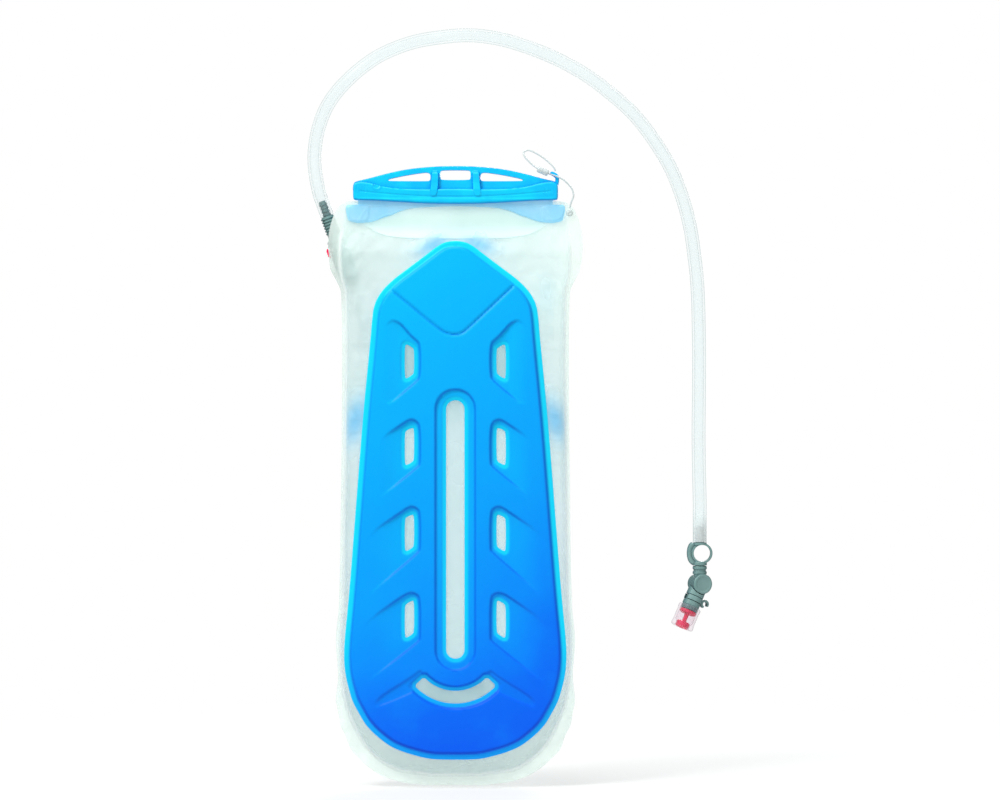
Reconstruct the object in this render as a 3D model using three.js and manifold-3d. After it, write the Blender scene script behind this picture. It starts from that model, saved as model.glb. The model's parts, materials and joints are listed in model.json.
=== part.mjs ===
// Hydration bladder: a slide-top reservoir with a backer panel, a drinking hose, an inline quick
// disconnect and a swivelling bite valve.
//
// Millimetres, +Z up, front is -Y, +X to the right seen from the front.
// Origin: bottom centre of the weld flange, on the weld-seam plane (Y = 0).
import * as THREE from 'three';
import { mergeVertices } from 'three/addons/utils/BufferGeometryUtils.js';
import Module from 'manifold-3d';

const wasm = await Module();
wasm.setup();

// ---------------------------------------------------------------- shared dimensions
const DEG = Math.PI / 180;
const SIDES = [-1, 1];           // left and right

const GAP = 0.3;                 // free space between neighbouring pieces
const FILM_INNER_Y = 0.15;       // film faces at the weld seam
const FILM_THICKNESS = 0.8;
const FILM_OUTER_Y = FILM_INNER_Y + FILM_THICKNESS;
const FRONT_DEPTH = 9;           // how far the front film stands forward of the seam
const MOUTH_FLAT_Z = 386.5;      // above this the two films lie flat on each other

const HOSE_OUTER_R = 4.75;       // 3/8 inch tube
const HOSE_BORE_R = 3.2;         // 1/4 inch bore
const HOSE_SIDES = 8;
const BARB_R = 2.72;             // hose barbs of the port, disconnect and valve
const BORE_R = 1.9;              // water bore through the port and disconnect

// quick disconnect (QD): a point on its parting plane, and its axis
const QD_X = -82.4;
const QD_Y = 18;
const QD_Z = 374.7;
const QD_TILT = 20 * DEG;        // the axis leans to the left of vertical

const VALVE_X = 169.6;           // axis of the hanging end of the drinking hose
const VALVE_Y = 21;

// ---------------------------------------------------------------- materials
function material({ color, roughness, opacity = 1, metalness = 0 }) {
  return new THREE.MeshStandardMaterial({
    color, roughness, metalness, opacity, transparent: opacity < 1,
  });
}
const FILM = material({ color: 0xd6ecea, roughness: 0.35, opacity: 0.6 });
const COLLAR = material({ color: 0xe2f7f4, roughness: 0.3, opacity: 0.7 });
const RAIL = material({ color: 0x93d5f6, roughness: 0.35, opacity: 0.8 });
const PLATE = material({ color: 0x02a2f8, roughness: 0.4 });
const SLIDER = material({ color: 0x0bd1f8, roughness: 0.3 });
const CLEAR = material({ color: 0xf2f9f7, roughness: 0.15, opacity: 0.45 });
const GREY = material({ color: 0x88a49f, roughness: 0.45 });
const RED = material({ color: 0xd2203c, roughness: 0.35 });
const RUBBER = material({ color: 0x202427, roughness: 0.7 });
const STEEL = material({ color: 0xb8bcc0, roughness: 0.3, metalness: 1 });

// ---------------------------------------------------------------- groups and meshes
const bladder = new THREE.Group();

function addGroup(parent, x, y, z) {
  const child = new THREE.Group();
  child.position.set(x, y, z);
  parent.add(child);
  return child;
}

// A closed geometry becomes a manifold solid: shared corners merged, slivers dropped and
// faces turned outwards.
function solid(geometry) {
  for (const name of Object.keys(geometry.attributes)) {
    if (name !== 'position') geometry.deleteAttribute(name);
  }
  const merged = mergeVertices(geometry, 1e-4);
  const positions = merged.attributes.position.array;
  const index = merged.index.array;
  const corner = (i) => new THREE.Vector3().fromArray(positions, 3 * i);
  const triangles = [];
  let volume = 0;
  for (let i = 0; i < index.length; i += 3) {
    const [a, b, c] = index.slice(i, i + 3);
    if (a === b || b === c || a === c) continue;
    triangles.push(a, b, c);
    volume += corner(a).dot(corner(b).cross(corner(c)));
  }
  if (volume < 0) triangles.reverse();
  return new wasm.Manifold(new wasm.Mesh({
    numProp: 3,
    vertProperties: new Float32Array(positions),
    triVerts: new Uint32Array(triangles),
  }));
}

function add(name, body, meshMaterial, parent = bladder) {
  const data = body.getMesh();
  const geometry = new THREE.BufferGeometry();
  const positions = new Float32Array(data.vertProperties);
  geometry.setAttribute('position', new THREE.BufferAttribute(positions, 3));
  geometry.setIndex(new THREE.BufferAttribute(new Uint32Array(data.triVerts), 1));
  geometry.computeVertexNormals();
  const mesh = new THREE.Mesh(geometry, meshMaterial);
  mesh.name = name;
  parent.add(mesh);
}

// ---------------------------------------------------------------- solid helpers
// cylinder or cone about Z
function cylZ(radius, z0, z1, segments, topRadius = radius) {
  const geometry = new THREE.CylinderGeometry(topRadius, radius, z1 - z0, segments);
  geometry.rotateX(Math.PI / 2);
  geometry.translate(0, 0, (z0 + z1) / 2);
  return solid(geometry);
}

// cylinder with its axis on Y
function cylY(radius, y0, y1, segments, x = 0, z = 0) {
  const geometry = new THREE.CylinderGeometry(radius, radius, y1 - y0, segments);
  geometry.translate(x, (y0 + y1) / 2, z);
  return solid(geometry);
}

// cylinder between two points
function rod(from, to, radius, segments) {
  const start = new THREE.Vector3(...from);
  const end = new THREE.Vector3(...to);
  const direction = end.clone().sub(start).normalize();
  const turn = new THREE.Quaternion().setFromUnitVectors(new THREE.Vector3(0, 1, 0), direction);
  const geometry = new THREE.CylinderGeometry(radius, radius, start.distanceTo(end), segments);
  geometry.applyQuaternion(turn);
  geometry.translate(...start.add(end).divideScalar(2).toArray());
  return solid(geometry);
}

function box(x0, x1, y0, y1, z0, z1) {
  const geometry = new THREE.BoxGeometry(x1 - x0, y1 - y0, z1 - z0);
  geometry.translate((x0 + x1) / 2, (y0 + y1) / 2, (z0 + z1) / 2);
  return solid(geometry);
}

// closed profile [radius, height] turned about Z
function latheZ(profile, segments) {
  const points = toVectors([...profile, profile[0]]);
  const geometry = new THREE.LatheGeometry(points, segments);
  geometry.rotateX(Math.PI / 2);
  return solid(geometry);
}

function torus(radius, sectionRadius) {
  return new THREE.TorusGeometry(radius, sectionRadius, 5, 12);
}

// an [x, z] outline, thick in Y, from backY forwards
function slab(outline, backY, thickness, bevel = 0) {
  const geometry = new THREE.ExtrudeGeometry(new THREE.Shape(toVectors(outline)), {
    depth: thickness - 2 * bevel,
    bevelEnabled: bevel > 0,
    bevelThickness: bevel,
    bevelSize: bevel,
    bevelOffset: -bevel,
    bevelSegments: 1,
  });
  geometry.translate(0, 0, bevel);
  geometry.rotateX(Math.PI / 2);
  geometry.translate(0, backY, 0);
  return solid(geometry);
}

function centredSlab(outline, halfY, bevel) {
  return slab(outline, halfY, 2 * halfY, bevel);
}

// a shape in the X-Y plane, extruded upwards from a height
function extrudeZ(shape, bottom, depth, curveSegments) {
  const geometry = new THREE.ExtrudeGeometry(shape, { depth, bevelEnabled: false, curveSegments });
  geometry.translate(0, 0, bottom);
  return solid(geometry);
}

// solid or hollow round section swept along a curve
function sweep(points, radius, steps, sides, holeRadius = 0, type = 'centripetal') {
  const vectors = points.map((point) => new THREE.Vector3(...point));
  const curve = new THREE.CatmullRomCurve3(vectors, false, type);
  const circle = (r) => toVectors(arc(0, 0, r, 0, 360, sides).slice(0, sides));
  const section = new THREE.Shape(circle(radius));
  if (holeRadius > 0) section.holes.push(new THREE.Path(circle(holeRadius)));
  const options = { steps, extrudePath: curve, bevelEnabled: false };
  return solid(new THREE.ExtrudeGeometry(section, options));
}

// thin sheet closed from two grids of points of the same size
function sheet(outer, inner) {
  const rows = outer.length;
  const columns = outer[0].length;
  const index = [];
  const out = (i, j) => i * columns + j;
  const ins = (i, j) => (rows + i) * columns + j;
  const quad = (a, b, c, d) => index.push(a, b, c, a, c, d);
  const lastRow = rows - 1;
  const lastColumn = columns - 1;
  for (let i = 0; i < lastRow; i++) {
    for (let j = 0; j < lastColumn; j++) {
      quad(out(i, j), out(i, j + 1), out(i + 1, j + 1), out(i + 1, j));
      quad(ins(i, j), ins(i + 1, j), ins(i + 1, j + 1), ins(i, j + 1));
    }
  }
  for (let j = 0; j < lastColumn; j++) {
    quad(out(0, j), ins(0, j), ins(0, j + 1), out(0, j + 1));
    quad(out(lastRow, j), out(lastRow, j + 1), ins(lastRow, j + 1), ins(lastRow, j));
  }
  for (let i = 0; i < lastRow; i++) {
    quad(out(i, 0), out(i + 1, 0), ins(i + 1, 0), ins(i, 0));
    quad(out(i, lastColumn), ins(i, lastColumn), ins(i + 1, lastColumn), out(i + 1, lastColumn));
  }
  const geometry = new THREE.BufferGeometry();
  const positions = new Float32Array([outer, inner].flat(3));
  geometry.setAttribute('position', new THREE.BufferAttribute(positions, 3));
  geometry.setIndex(index);
  return solid(geometry);
}

// ---------------------------------------------------------------- outline helpers
function toVectors(points) {
  return points.map(([x, y]) => new THREE.Vector2(x, y));
}

// points along a circular arc, angles in degrees
function arc(x, y, radius, from, to, steps) {
  const points = [];
  for (let i = 0; i <= steps; i++) {
    const angle = (from + (to - from) * i / steps) * DEG;
    points.push([x + radius * Math.cos(angle), y + radius * Math.sin(angle)]);
  }
  return points;
}

// the same outline on the right (side 1) or the left (side -1)
function onSide(side, points) {
  return points.map(([x, z]) => [side * x, z]);
}

// right half of an outline, completed with its mirror image
function symmetric(half) {
  return [...half, ...onSide(-1, half.filter(([x]) => x !== 0).reverse())];
}

// straight-line interpolation in a table of [key, value] rows, held constant beyond its ends
const lookup = (rows) => (key) => {
  const i = rows.findIndex(([rowKey]) => key <= rowKey);
  if (i === 0) return rows[0][1];
  if (i < 0) return rows.at(-1)[1];
  const [key0, value0] = rows[i - 1];
  const [key1, value1] = rows[i];
  return value0 + (value1 - value0) * (key - key0) / (key1 - key0);
};

// ---------------------------------------------------------------- bladder films
const ROLL_R = 6;                // width of the rolled edge of the front film
const PORT_Z = 62.5;

// [z, half width] of the weld flange
const flangeHalf = lookup([
  [0, 20], [2, 37], [9, 55], [17, 65], [25.5, 72.8], [33.8, 75.6], [42, 79.7], [50.4, 81],
  [58.7, 82.5], [75, 81], [100, 82.5], [125, 80.4], [200, 79], [300, 78.3], [340, 79],
  [348.5, 82.5], [356.7, 86.6], [365, 87.3], [373.3, 88], [381.6, 87.3], [390, 85.2],
  [400, 79.7], [402.6, 75], [403, 67], [409, 66],
]);
// [z, half width] of the water space, inside the weld
const bodyHalf = lookup([
  [0, 12], [2, 14], [7.3, 17], [10.6, 39], [13.8, 46], [23, 58], [29, 63], [45, 71.4], [58, 76],
  [75, 78.5], [100, 79.5], [125, 77.5], [160, 77], [200, 76.5], [250, 76], [300, 75.5],
  [340, 76], [352, 79], [366, 80], [376, 79.5], [386.5, 77], [400, 72], [402.6, 68], [403, 61],
  [409, 60],
]);
// [z, depth] of each film off the seam
const frontDepth = lookup([
  [7.3, 0], [8.2, 4.2], [10.6, 7], [13.8, 8.4], [18, FRONT_DEPTH], [366, FRONT_DEPTH],
  [376, 5.5], [MOUTH_FLAT_Z, 0],
]);
const backDepth = lookup([
  [7.3, 0], [8.2, 5], [10.6, 10], [13.8, 14.5], [18, 18.5], [25.5, 23.5], [34, 27.5],
  [45, 31.5], [58, 34.5], [75, 37], [100, 38.5], [125, 39], [160, 39], [200, 38.5],
  [250, 37.5], [300, 35.5], [325, 32.5], [340, 28.5], [352, 24], [366, 16.5], [376, 8.5],
  [MOUTH_FLAT_Z, 0],
]);
// heights of the grid rows
const FILM_ROWS = [
  0, 2, 7.3, 8.2, 10.6, 13.8, 18, 25.5, 34, 45, 58, 75, 100, 125, 175, 230, 290, 325, 340, 352,
  366, 376, MOUTH_FLAT_Z, 395, 400, 402.6, 403, 409,
];
const portY = backDepth(PORT_Z) + FILM_OUTER_Y;

// Flat front with rolled edges. Shrinking the half width gives the inner face.
function frontBulge(x, z, shrink) {
  const fromEdge = bodyHalf(z) - Math.abs(x) - shrink;
  const rolled = THREE.MathUtils.clamp(fromEdge / ROLL_R, 0, 1);
  return frontDepth(z) * Math.sqrt(1 - (1 - rolled) ** 2);
}

function backBulge(x, z, shrink) {
  const across = Math.min(Math.abs(x) / (bodyHalf(z) - shrink), 1);
  return backDepth(z) * (1 - across ** 2) ** 0.8;
}

function film(side, bulge, innerShrink) {
  const grid = (seamY, shrink) => FILM_ROWS.map((z) => {
    const weld = bodyHalf(z);
    const flat = weld - ROLL_R;
    const half = [flangeHalf(z), weld, weld - 1.2, flat, flat * 0.5, 0];
    const stations = [...half.map((x) => -x), ...half.slice(0, -1).reverse()];
    return stations.map((x) => [x, side * (seamY + bulge(x, z, shrink)), z]);
  });
  return sheet(grid(FILM_OUTER_Y, 0), grid(FILM_INNER_Y, innerShrink));
}

add('bladder_front_film', film(-1, frontBulge, 0.5), FILM);
const portHole = cylY(3.2, portY - 6, portY + 6, 14, 0, PORT_Z);
add('bladder_back_film', film(1, backBulge, 0.4).subtract(portHole), FILM);

// ---------------------------------------------------------------- mouth collars
const RAIL_HALF = 75.5;          // half length of the rails over their D-shaped ends
// [x, z] of the lower edge of the rails, right half
const RAIL_LOW = [
  [0, 399.5], [15, 399], [30, 398], [38, 396], [45, 393], [49, 391.8], [54.9, 389.5],
  [60, 388.3], [66.6, 387.8], [72, 388.8], [74.9, 391], [RAIL_HALF, 396.8],
];
const railLow = lookup(RAIL_LOW);
// [x, z] of the lower edge of the collars, right half
const collarLow = lookup([
  [0, 376.9], [33, 377.4], [45, 378.6], [54, 381.2], [60, 384.8], [62, 386.2],
]);
const COLLAR_COLUMNS = [-62, -54, -45, -33, -16, 0, 16, 33, 45, 54, 62];
const COLLAR_THICKNESS = 0.5;
const COLLAR_INNER_Y = FILM_OUTER_Y + GAP + 0.1;

// lens-shaped film lying on the sloped shoulder of the bladder film
function collar(side, depthAt) {
  const rows = [collarLow, () => MOUTH_FLAT_Z, (x) => railLow(x) - 0.6];
  const grid = (faceY) => rows.map((edge) => COLLAR_COLUMNS.map((x) => {
    const z = edge(Math.abs(x));
    return [x, side * (faceY + depthAt(z)), z];
  }));
  return sheet(grid(COLLAR_INNER_Y + COLLAR_THICKNESS), grid(COLLAR_INNER_Y));
}
add('mouth_collar_front', collar(-1, frontDepth), COLLAR);
add('mouth_collar_back', collar(1, backDepth), COLLAR);

// ---------------------------------------------------------------- closure rails
const RAIL_IN_CHANNEL_HALF = 67;
const RAIL_BACK_Y = 1.25;        // rail face on the film, off the seam plane
const RAIL_WEB_THICKNESS = 1.5;
const RAIL_WEB_TOP_Z = 400.2;
const RAIL_BEAD_FRONT_Y = 4.5;   // outer face of the bead along the top
// [x, z] of the pad at the right end
const RAIL_PAD = [
  [74.6, 399.9], [74.6, 396.6], [74, 391.6], [71.4, 389.6], [66.6, 388.7], [60.4, 389.2],
  [59.6, 394], [59.2, 399.9],
];

// thin web right across, an upright with a bead in the channel, D-shaped pads at both ends
function frontRail() {
  const outline = symmetric([...RAIL_LOW, [RAIL_HALF - 0.4, RAIL_WEB_TOP_Z]]);
  const half = RAIL_IN_CHANNEL_HALF;
  const webFrontY = -RAIL_BACK_Y - RAIL_WEB_THICKNESS;
  let body = slab(outline, -RAIL_BACK_Y, RAIL_WEB_THICKNESS)
    .add(box(-half, half, webFrontY, -RAIL_BACK_Y, 399.6, 405.6))
    .add(box(-half, half, -RAIL_BEAD_FRONT_Y, -RAIL_BACK_Y, 405, 409.8));
  for (const side of SIDES) {
    body = body.add(slab(onSide(side, RAIL_PAD), -RAIL_BACK_Y - 1.2, 1.4));
  }
  return body;
}
add('front_closure_rail', frontRail(), RAIL);
add('back_closure_rail', frontRail().mirror([0, 1, 0]), RAIL);

// ---------------------------------------------------------------- slider bar
const SLIDER_HALF = 70.7;        // half length
const SLIDER_HALF_Y = 6;         // half depth of the channel body
const HANDLE_HALF_Y = 3.2;       // half depth of the arched handle
const CHANNEL_LIP_Y = 3.1;       // half width of the slot between the lips
const CHANNEL_LIP_Z = 404.6;     // top of the lips
const CHANNEL_Y = 4.9;           // half width of the channel
const CHANNEL_TOP_Z = 410.4;
const CHANNEL_END_X = 67.6;      // inner face of the closed end

// [x, z] outlines; the halves are right halves
const SLIDER_BODY_HALF = [
  [0, 400.7], [20, 401.0], [40, 402.2], [55, 403.2], [69.4, 403.4], [SLIDER_HALF, 404.6],
  [SLIDER_HALF, 413.4], [69.8, 415.2], [67, 416], [58, 415.2], [50, 412.6], [34, 411],
  [18, 410.9], [0, 411.4],
];
const HANDLE_HALF = [
  [0, 408], [69, 408], [SLIDER_HALF - 0.4, 410], [SLIDER_HALF - 0.2, 415], [68.6, 416.5],
  [60, 418.4], [49.2, 421.4], [37.8, 424], [28.2, 425.3], [18, 426.2], [9.5, 426.7], [0, 426.8],
];
const CENTRE_WINDOW_HALF = [[9.4, 417.3], [10.4, 418.4], [10.4, 423.2], [9.4, 424.2]];
const SIDE_WINDOW = [
  [17.4, 417.6], [18.2, 416.6], [45, 416.6], [46.4, 417.2], [45.6, 418.1], [33, 420.6],
  [20, 422.4], [17.9, 421.9], [17.4, 420.8],
];
const STRUT_FOOT = [[11, 416.8], [16.8, 416.8], [18.4, 407], [14.6, 405.6]];
const TETHER_LUG = [
  [64.6, 421.4], [66.2, 423.8], [71.2, 421.2], [71.6, 416.6], [70.2, 413], [68, 413],
  [69.2, 417.8], [68.4, 419.6],
];

function sliderBar() {
  const window = (outline) => centredSlab(outline, 10);
  let bar = centredSlab(symmetric(SLIDER_BODY_HALF), SLIDER_HALF_Y, 0.9)
    .add(centredSlab(symmetric(HANDLE_HALF), HANDLE_HALF_Y, 0.5))
    .subtract(window(symmetric(CENTRE_WINDOW_HALF)));
  for (const side of SIDES) bar = bar.subtract(window(onSide(side, SIDE_WINDOW)));
  // strut feet running down the front and back of the body
  for (const side of SIDES) bar = bar.add(centredSlab(onSide(side, STRUT_FOOT), 5.2, 0.4));
  // lug standing up at the right end, round boss on the front at the left
  bar = bar.add(centredSlab(TETHER_LUG, 2.4, 0.3)).add(cylY(3.2, -6.1, -2, 14, -54.2, 413.6));
  // channel that grips the two rails, open at the left end
  const openX = -SLIDER_HALF - 3;
  const lipY = CHANNEL_LIP_Y;
  return bar
    .subtract(box(openX, CHANNEL_END_X, -lipY, lipY, 398, CHANNEL_LIP_Z + 0.2))
    .subtract(box(openX, CHANNEL_END_X, -CHANNEL_Y, CHANNEL_Y, CHANNEL_LIP_Z, CHANNEL_TOP_Z));
}
add('slider_bar', sliderBar(), SLIDER);

// ---------------------------------------------------------------- tether
const CORD_R = 0.55;
const CORD_Y = -4.3;             // where the cord runs in front of the slider
const ANCHOR_BACK_Y = -(FILM_OUTER_Y + GAP);
// [x, y, z] from the anchor, through the bead, round the loop and back to the lug
const CORD_PATH = [
  [78.8, -2.1, 398.0], [79.8, -2.9, 402.0], [81.4, CORD_Y, 406.4], [80.2, CORD_Y, 411.2],
  [75.4, CORD_Y, 416.6], [70.7, CORD_Y, 419.4], [65.5, CORD_Y, 421.2], [60, CORD_Y, 423.2],
  [55.5, CORD_Y, 425.9], [51.4, CORD_Y, 429.2], [47.6, -3.6, 433.6], [47.0, -2.6, 436.3],
  [50, -1.6, 437.9], [57.6, -0.8, 434.7], [64.9, -0.4, 429.2], [68.2, -0.2, 425.6],
  [68.9, 0, 423.6],
];

function tetherBead() {
  const hole = rod([70, CORD_Y, 419.15], [50, CORD_Y, 427.8], 1.15, 10);
  return rod([64, CORD_Y, 421.75], [56.6, CORD_Y, 424.95], 2.2, 14).subtract(hole);
}
add('tether_cord', sweep(CORD_PATH, CORD_R, 38, 5), CLEAR);
add('tether_bead', tetherBead(), CLEAR);
add('tether_anchor', cylY(2.3, ANCHOR_BACK_Y - 1.1, ANCHOR_BACK_Y, 16, 78.7, 394.6), CLEAR);

// ---------------------------------------------------------------- backer plate
const PLATE_BACK_Y = -(FILM_OUTER_Y + FRONT_DEPTH + GAP);
const PLATE_RIM_THICKNESS = 1.3;
const PLATE_PANEL_THICKNESS = 2.5;    // raised panel above the rim
const PLATE_RIM_WIDTH = 4.2;
const PLATE_FRONT_Y = PLATE_BACK_Y - PLATE_RIM_THICKNESS - PLATE_PANEL_THICKNESS;
const SMILE_CENTRE_Z = 95.2;

// [x, z] of the right edge, bottom to top
const PLATE_EDGE = [
  [10, 18.6], [20, 19.3], [41.4, 25.5], [53.1, 33.8], [61.4, 42.1], [66.2, 50.4], [70.7, 58.7],
  [73.1, 66.9], [75.2, 75.2], [76.5, 86], [76.2, 100], [72.8, 133.2], [69, 182.9],
  [65.2, 232.5], [62.4, 265.7], [58.3, 307], [57, 323.6], [55.5, 331.9], [51, 340.2],
  [42.8, 348.5], [31.7, 356.7], [20.7, 365], [10, 373.3], [3, 375],
];
// side slots: z of inner top, inner bottom, outer top and outer bottom, and whether the
// sunken channel runs on outwards (1) or not (0)
const SIDE_SLOTS = [
  [301.7, 283.2, 303.8, 280, 0],
  [247, 223.4, 244.4, 220.5, 1],
  [187.5, 164.4, 184.8, 161.4, 1],
  [128.5, 105, 125.2, 101.9, 1],
];
// [x, z] of the V-shaped groove near the top, right half
const V_GROOVE_HALF = [
  [0, 309.9], [5, 310.6], [10.7, 313.2], [43, 338], [43, 340.4], [9.4, 316.4], [4, 313.6],
  [0, 313],
];

// every corner moved inwards, square to the line between its neighbours
function insetOutline(points, inset) {
  return points.map(([x, z], i) => {
    const before = points.at(i - 1);
    const after = points[(i + 1) % points.length];
    const dx = after[0] - before[0];
    const dz = after[1] - before[1];
    const length = Math.hypot(dx, dz);
    return [x - dz / length * inset, z + dx / length * inset];
  });
}

// upright slot outline on the centre line
function capsule(z0, z1, radius) {
  return [
    ...arc(0, z0 + radius, radius, 180, 360, 6),
    ...arc(0, z1 - radius, radius, 0, 180, 6),
  ];
}

// smile-shaped slot, opening upwards
function smile(innerRadius, outerRadius, halfAngle) {
  const from = -90 - halfAngle;
  const to = -90 + halfAngle;
  return [
    ...arc(0, SMILE_CENTRE_Z, outerRadius, from, to, 8),
    ...arc(0, SMILE_CENTRE_Z, innerRadius, to, from, 8),
  ];
}

function backerPlate() {
  const outline = symmetric(PLATE_EDGE);
  const panelThickness = PLATE_RIM_THICKNESS + PLATE_PANEL_THICKNESS - 0.2;
  const panelOutline = insetOutline(outline, PLATE_RIM_WIDTH);
  let plate = slab(outline, PLATE_BACK_Y, PLATE_RIM_THICKNESS)
    .add(slab(panelOutline, PLATE_BACK_Y - 0.2, panelThickness, 0.9));
  const cutThrough = (points) => {
    plate = plate.subtract(slab(points, PLATE_BACK_Y + 1, 8));
  };
  const sink = (points, depth) => {
    plate = plate.subtract(slab(points, PLATE_FRONT_Y + depth, depth + 1));
  };
  // long centre slot in its sunken moat
  sink(capsule(80, 274, 13.1), 1.5);
  cutThrough(capsule(87.6, 265.7, 6.4));
  // side slots, each at the deep end of a sunken channel
  for (const [innerTop, innerBottom, outerTop, outerBottom, run] of SIDE_SLOTS) {
    const middle = (innerTop + innerBottom) / 2;
    const channel = [
      [25, innerTop + 3], [30, innerTop + 5], [37.5, outerTop + 2],
      [40.5 + 14 * run, middle + 5 * run - 2], [39.5 + 12 * run, middle - 18 - 6 * run],
      [37.5, outerBottom - 9], [25, innerBottom - 3],
    ];
    const slot = [
      [28.3, innerTop - 1], [29.3, innerTop], [33.7, outerTop], [34.7, outerTop - 1],
      [34.7, outerBottom + 1], [33.7, outerBottom], [29.3, innerBottom], [28.3, innerBottom + 1],
    ];
    for (const side of SIDES) {
      sink(onSide(side, channel), 1.1);
      cutThrough(onSide(side, slot));
    }
  }
  sink(smile(25.5, 42, 53), 1.5);
  cutThrough(smile(29.3, 38, 47));
  sink(symmetric(V_GROOVE_HALF), 0.8);
  return plate;
}
add('backer_plate', backerPlate(), PLATE);

// ---------------------------------------------------------------- outlet port
const PORT_LEAN = 8.4 * DEG;          // the port points this much below square to the back
const PORT_DISC_R = 18;
const PORT_BOSS_R = 8.5;
const PORT_BARB_TURN = 25 * DEG;      // the elbow points to the left of up
const PORT_BARB_HEIGHT = 7.5;         // barb axis above the disc's underside

// local +Z points out of the back film, local -Y up
const port = addGroup(bladder, 0, portY + 0.35, PORT_Z);
port.rotation.x = -Math.PI / 2 - PORT_LEAN;

// a point on the barb's axis, in the port's frame
function alongBarb(distance) {
  return [
    -Math.sin(PORT_BARB_TURN) * distance, -Math.cos(PORT_BARB_TURN) * distance, PORT_BARB_HEIGHT,
  ];
}

function outletPort() {
  return cylZ(PORT_DISC_R, 0, 1.6, 24)
    .add(cylZ(PORT_DISC_R - 1.2, 1.4, 2.2, 24))
    .add(cylZ(PORT_BOSS_R, 1, 11, 18))
    .add(cylZ(PORT_BOSS_R, 10.9, 12.4, 18, PORT_BOSS_R - 1.6))
    .add(rod(alongBarb(0), alongBarb(11.6), 4.7, 12))
    .add(rod(alongBarb(5), alongBarb(24), BARB_R, 10))
    .subtract(cylZ(3, -1, 8.5, 10))
    .subtract(rod(alongBarb(0), alongBarb(26), BORE_R, 8));
}
add('outlet_port', outletPort(), CLEAR, port);

// ---------------------------------------------------------------- lower hose
function hose(path, steps) {
  return sweep(path, HOSE_OUTER_R, steps, HOSE_SIDES, HOSE_BORE_R);
}

// points on the barb axis of the port and on the disconnect axis, in the bladder's frame
function portPoint(distance) {
  return port.localToWorld(new THREE.Vector3(...alongBarb(distance))).toArray();
}
function qdPoint(distance) {
  return [QD_X - Math.sin(QD_TILT) * distance, QD_Y, QD_Z + Math.cos(QD_TILT) * distance];
}

const LOWER_HOSE_PATH = [
  ...[-30.4, -36, -42.5].map(qdPoint),
  [-63.4, 20.5, 320], [-57.6, 27.5, 292], [-50.5, 33.5, 255], [-42, 38.5, 210],
  [-32.6, 42.5, 165], [-24, 45.6, 130],
  ...[40, 27, 20, 12].map(portPoint),
];
add('lower_hose', hose(LOWER_HOSE_PATH, 24), CLEAR);

// ---------------------------------------------------------------- quick disconnect
const SOCKET_R = 7.2;
const SOCKET_BORE_R = 4.3;
const NOSE_R = 4.0;
const RIDGE_PITCH = 3.125;            // ridges of the plug's grip
const SPRING_TURNS = 3;
const SPRING_STEPS = SPRING_TURNS * 9;
const BUTTON_SPRING_Z = -7.3;

// local +Z leaves the socket, local -X faces the button
const disconnect = addGroup(bladder, QD_X, QD_Y, QD_Z);
disconnect.rotation.y = -QD_TILT;

// nose with seal groove and latch groove, ribbed grip, barb for the drinking hose
function qdPlug() {
  const profile = [
    [BORE_R, -13.5], [NOSE_R - 0.6, -13.5], [NOSE_R, -12.8], [NOSE_R, -10.2], [2.9, -10.2],
    [2.9, -7.8], [NOSE_R, -7.8], [NOSE_R, -5.5], [3.1, -5.5], [3.1, -2.9], [NOSE_R, -2.9],
    [NOSE_R, 0.3], [6.4, 0.3], [6.4, 2.4], [4.6, 3.4], [4.6, 7.4],
  ];
  for (let i = 0; i < 4; i++) {
    const z = 7.4 + i * RIDGE_PITCH;
    profile.push([5.1, z], [5.1, z + 1.7], [4.5, z + 1.7], [4.5, z + RIDGE_PITCH]);
  }
  profile.push([BARB_R, 19.9], [BARB_R, 30.4], [BORE_R, 31]);
  return latheZ(profile, 12);
}

// bore for the nose, cross slot for the latch plate, recess for the button
function qdSocket() {
  const profile = [
    [SOCKET_R - 0.6, 0], [SOCKET_BORE_R, 0], [SOCKET_BORE_R, -14.5], [2.4, -14.5], [2.4, -16],
    [4.6, -16], [4.6, -28], [SOCKET_R - 0.8, -28], [SOCKET_R, -26.6], [SOCKET_R, -0.7],
  ];
  return latheZ(profile, 16)
    .subtract(box(-10, 10, -5.8, 5.8, -5.4, -3))
    .subtract(box(-10, -5.0, -4, 4, -8.9, -0.9));
}

// plate with an oval hole round the plug's nose
function latchPlate() {
  const plate = new THREE.Shape(toVectors([
    [-6.8, -4.4], [-5.6, -5.4], [3.6, -5.4], [4.9, -4], [4.9, 4], [3.6, 5.4], [-5.6, 5.4],
    [-6.8, 4.4],
  ]));
  const oval = [...arc(-0.2, 0, 4.35, -90, 90, 8), ...arc(-1.75, 0, 4.35, 90, 270, 8)];
  plate.holes.push(new THREE.Path(toVectors(oval)));
  return extrudeZ(plate, -4.95, 1.5);
}

function releaseButton() {
  const outline = [
    [-7.1, -3.6], [-7.1, 3.6], [-8, 3.6], [-8.7, 2.6], [-8.9, 0], [-8.7, -2.6], [-8, -3.6],
  ];
  return extrudeZ(new THREE.Shape(toVectors(outline)), -8.5, 7);
}

// place() turns a point (u, v) across the coil and a distance along it into [x, y, z]
function spring({ radius, wireRadius, from, to, sides, place }) {
  const points = arc(0, 0, radius, 0, 360 * SPRING_TURNS, SPRING_STEPS)
    .map(([u, v], i) => place(u, v, from + (to - from) * i / SPRING_STEPS));
  return sweep(points, wireRadius, SPRING_STEPS, sides, 0, 'catmullrom');
}
const buttonSpring = spring({
  radius: 0.85, wireRadius: 0.16, from: -6.75, to: -5.35, sides: 4,
  place: (u, v, along) => [along, u, BUTTON_SPRING_Z + v],
});
const poppetSpring = spring({
  radius: 3.0, wireRadius: 0.3, from: -21.7, to: -26.6, sides: 5,
  place: (u, v, along) => [u, v, along],
});

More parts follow.
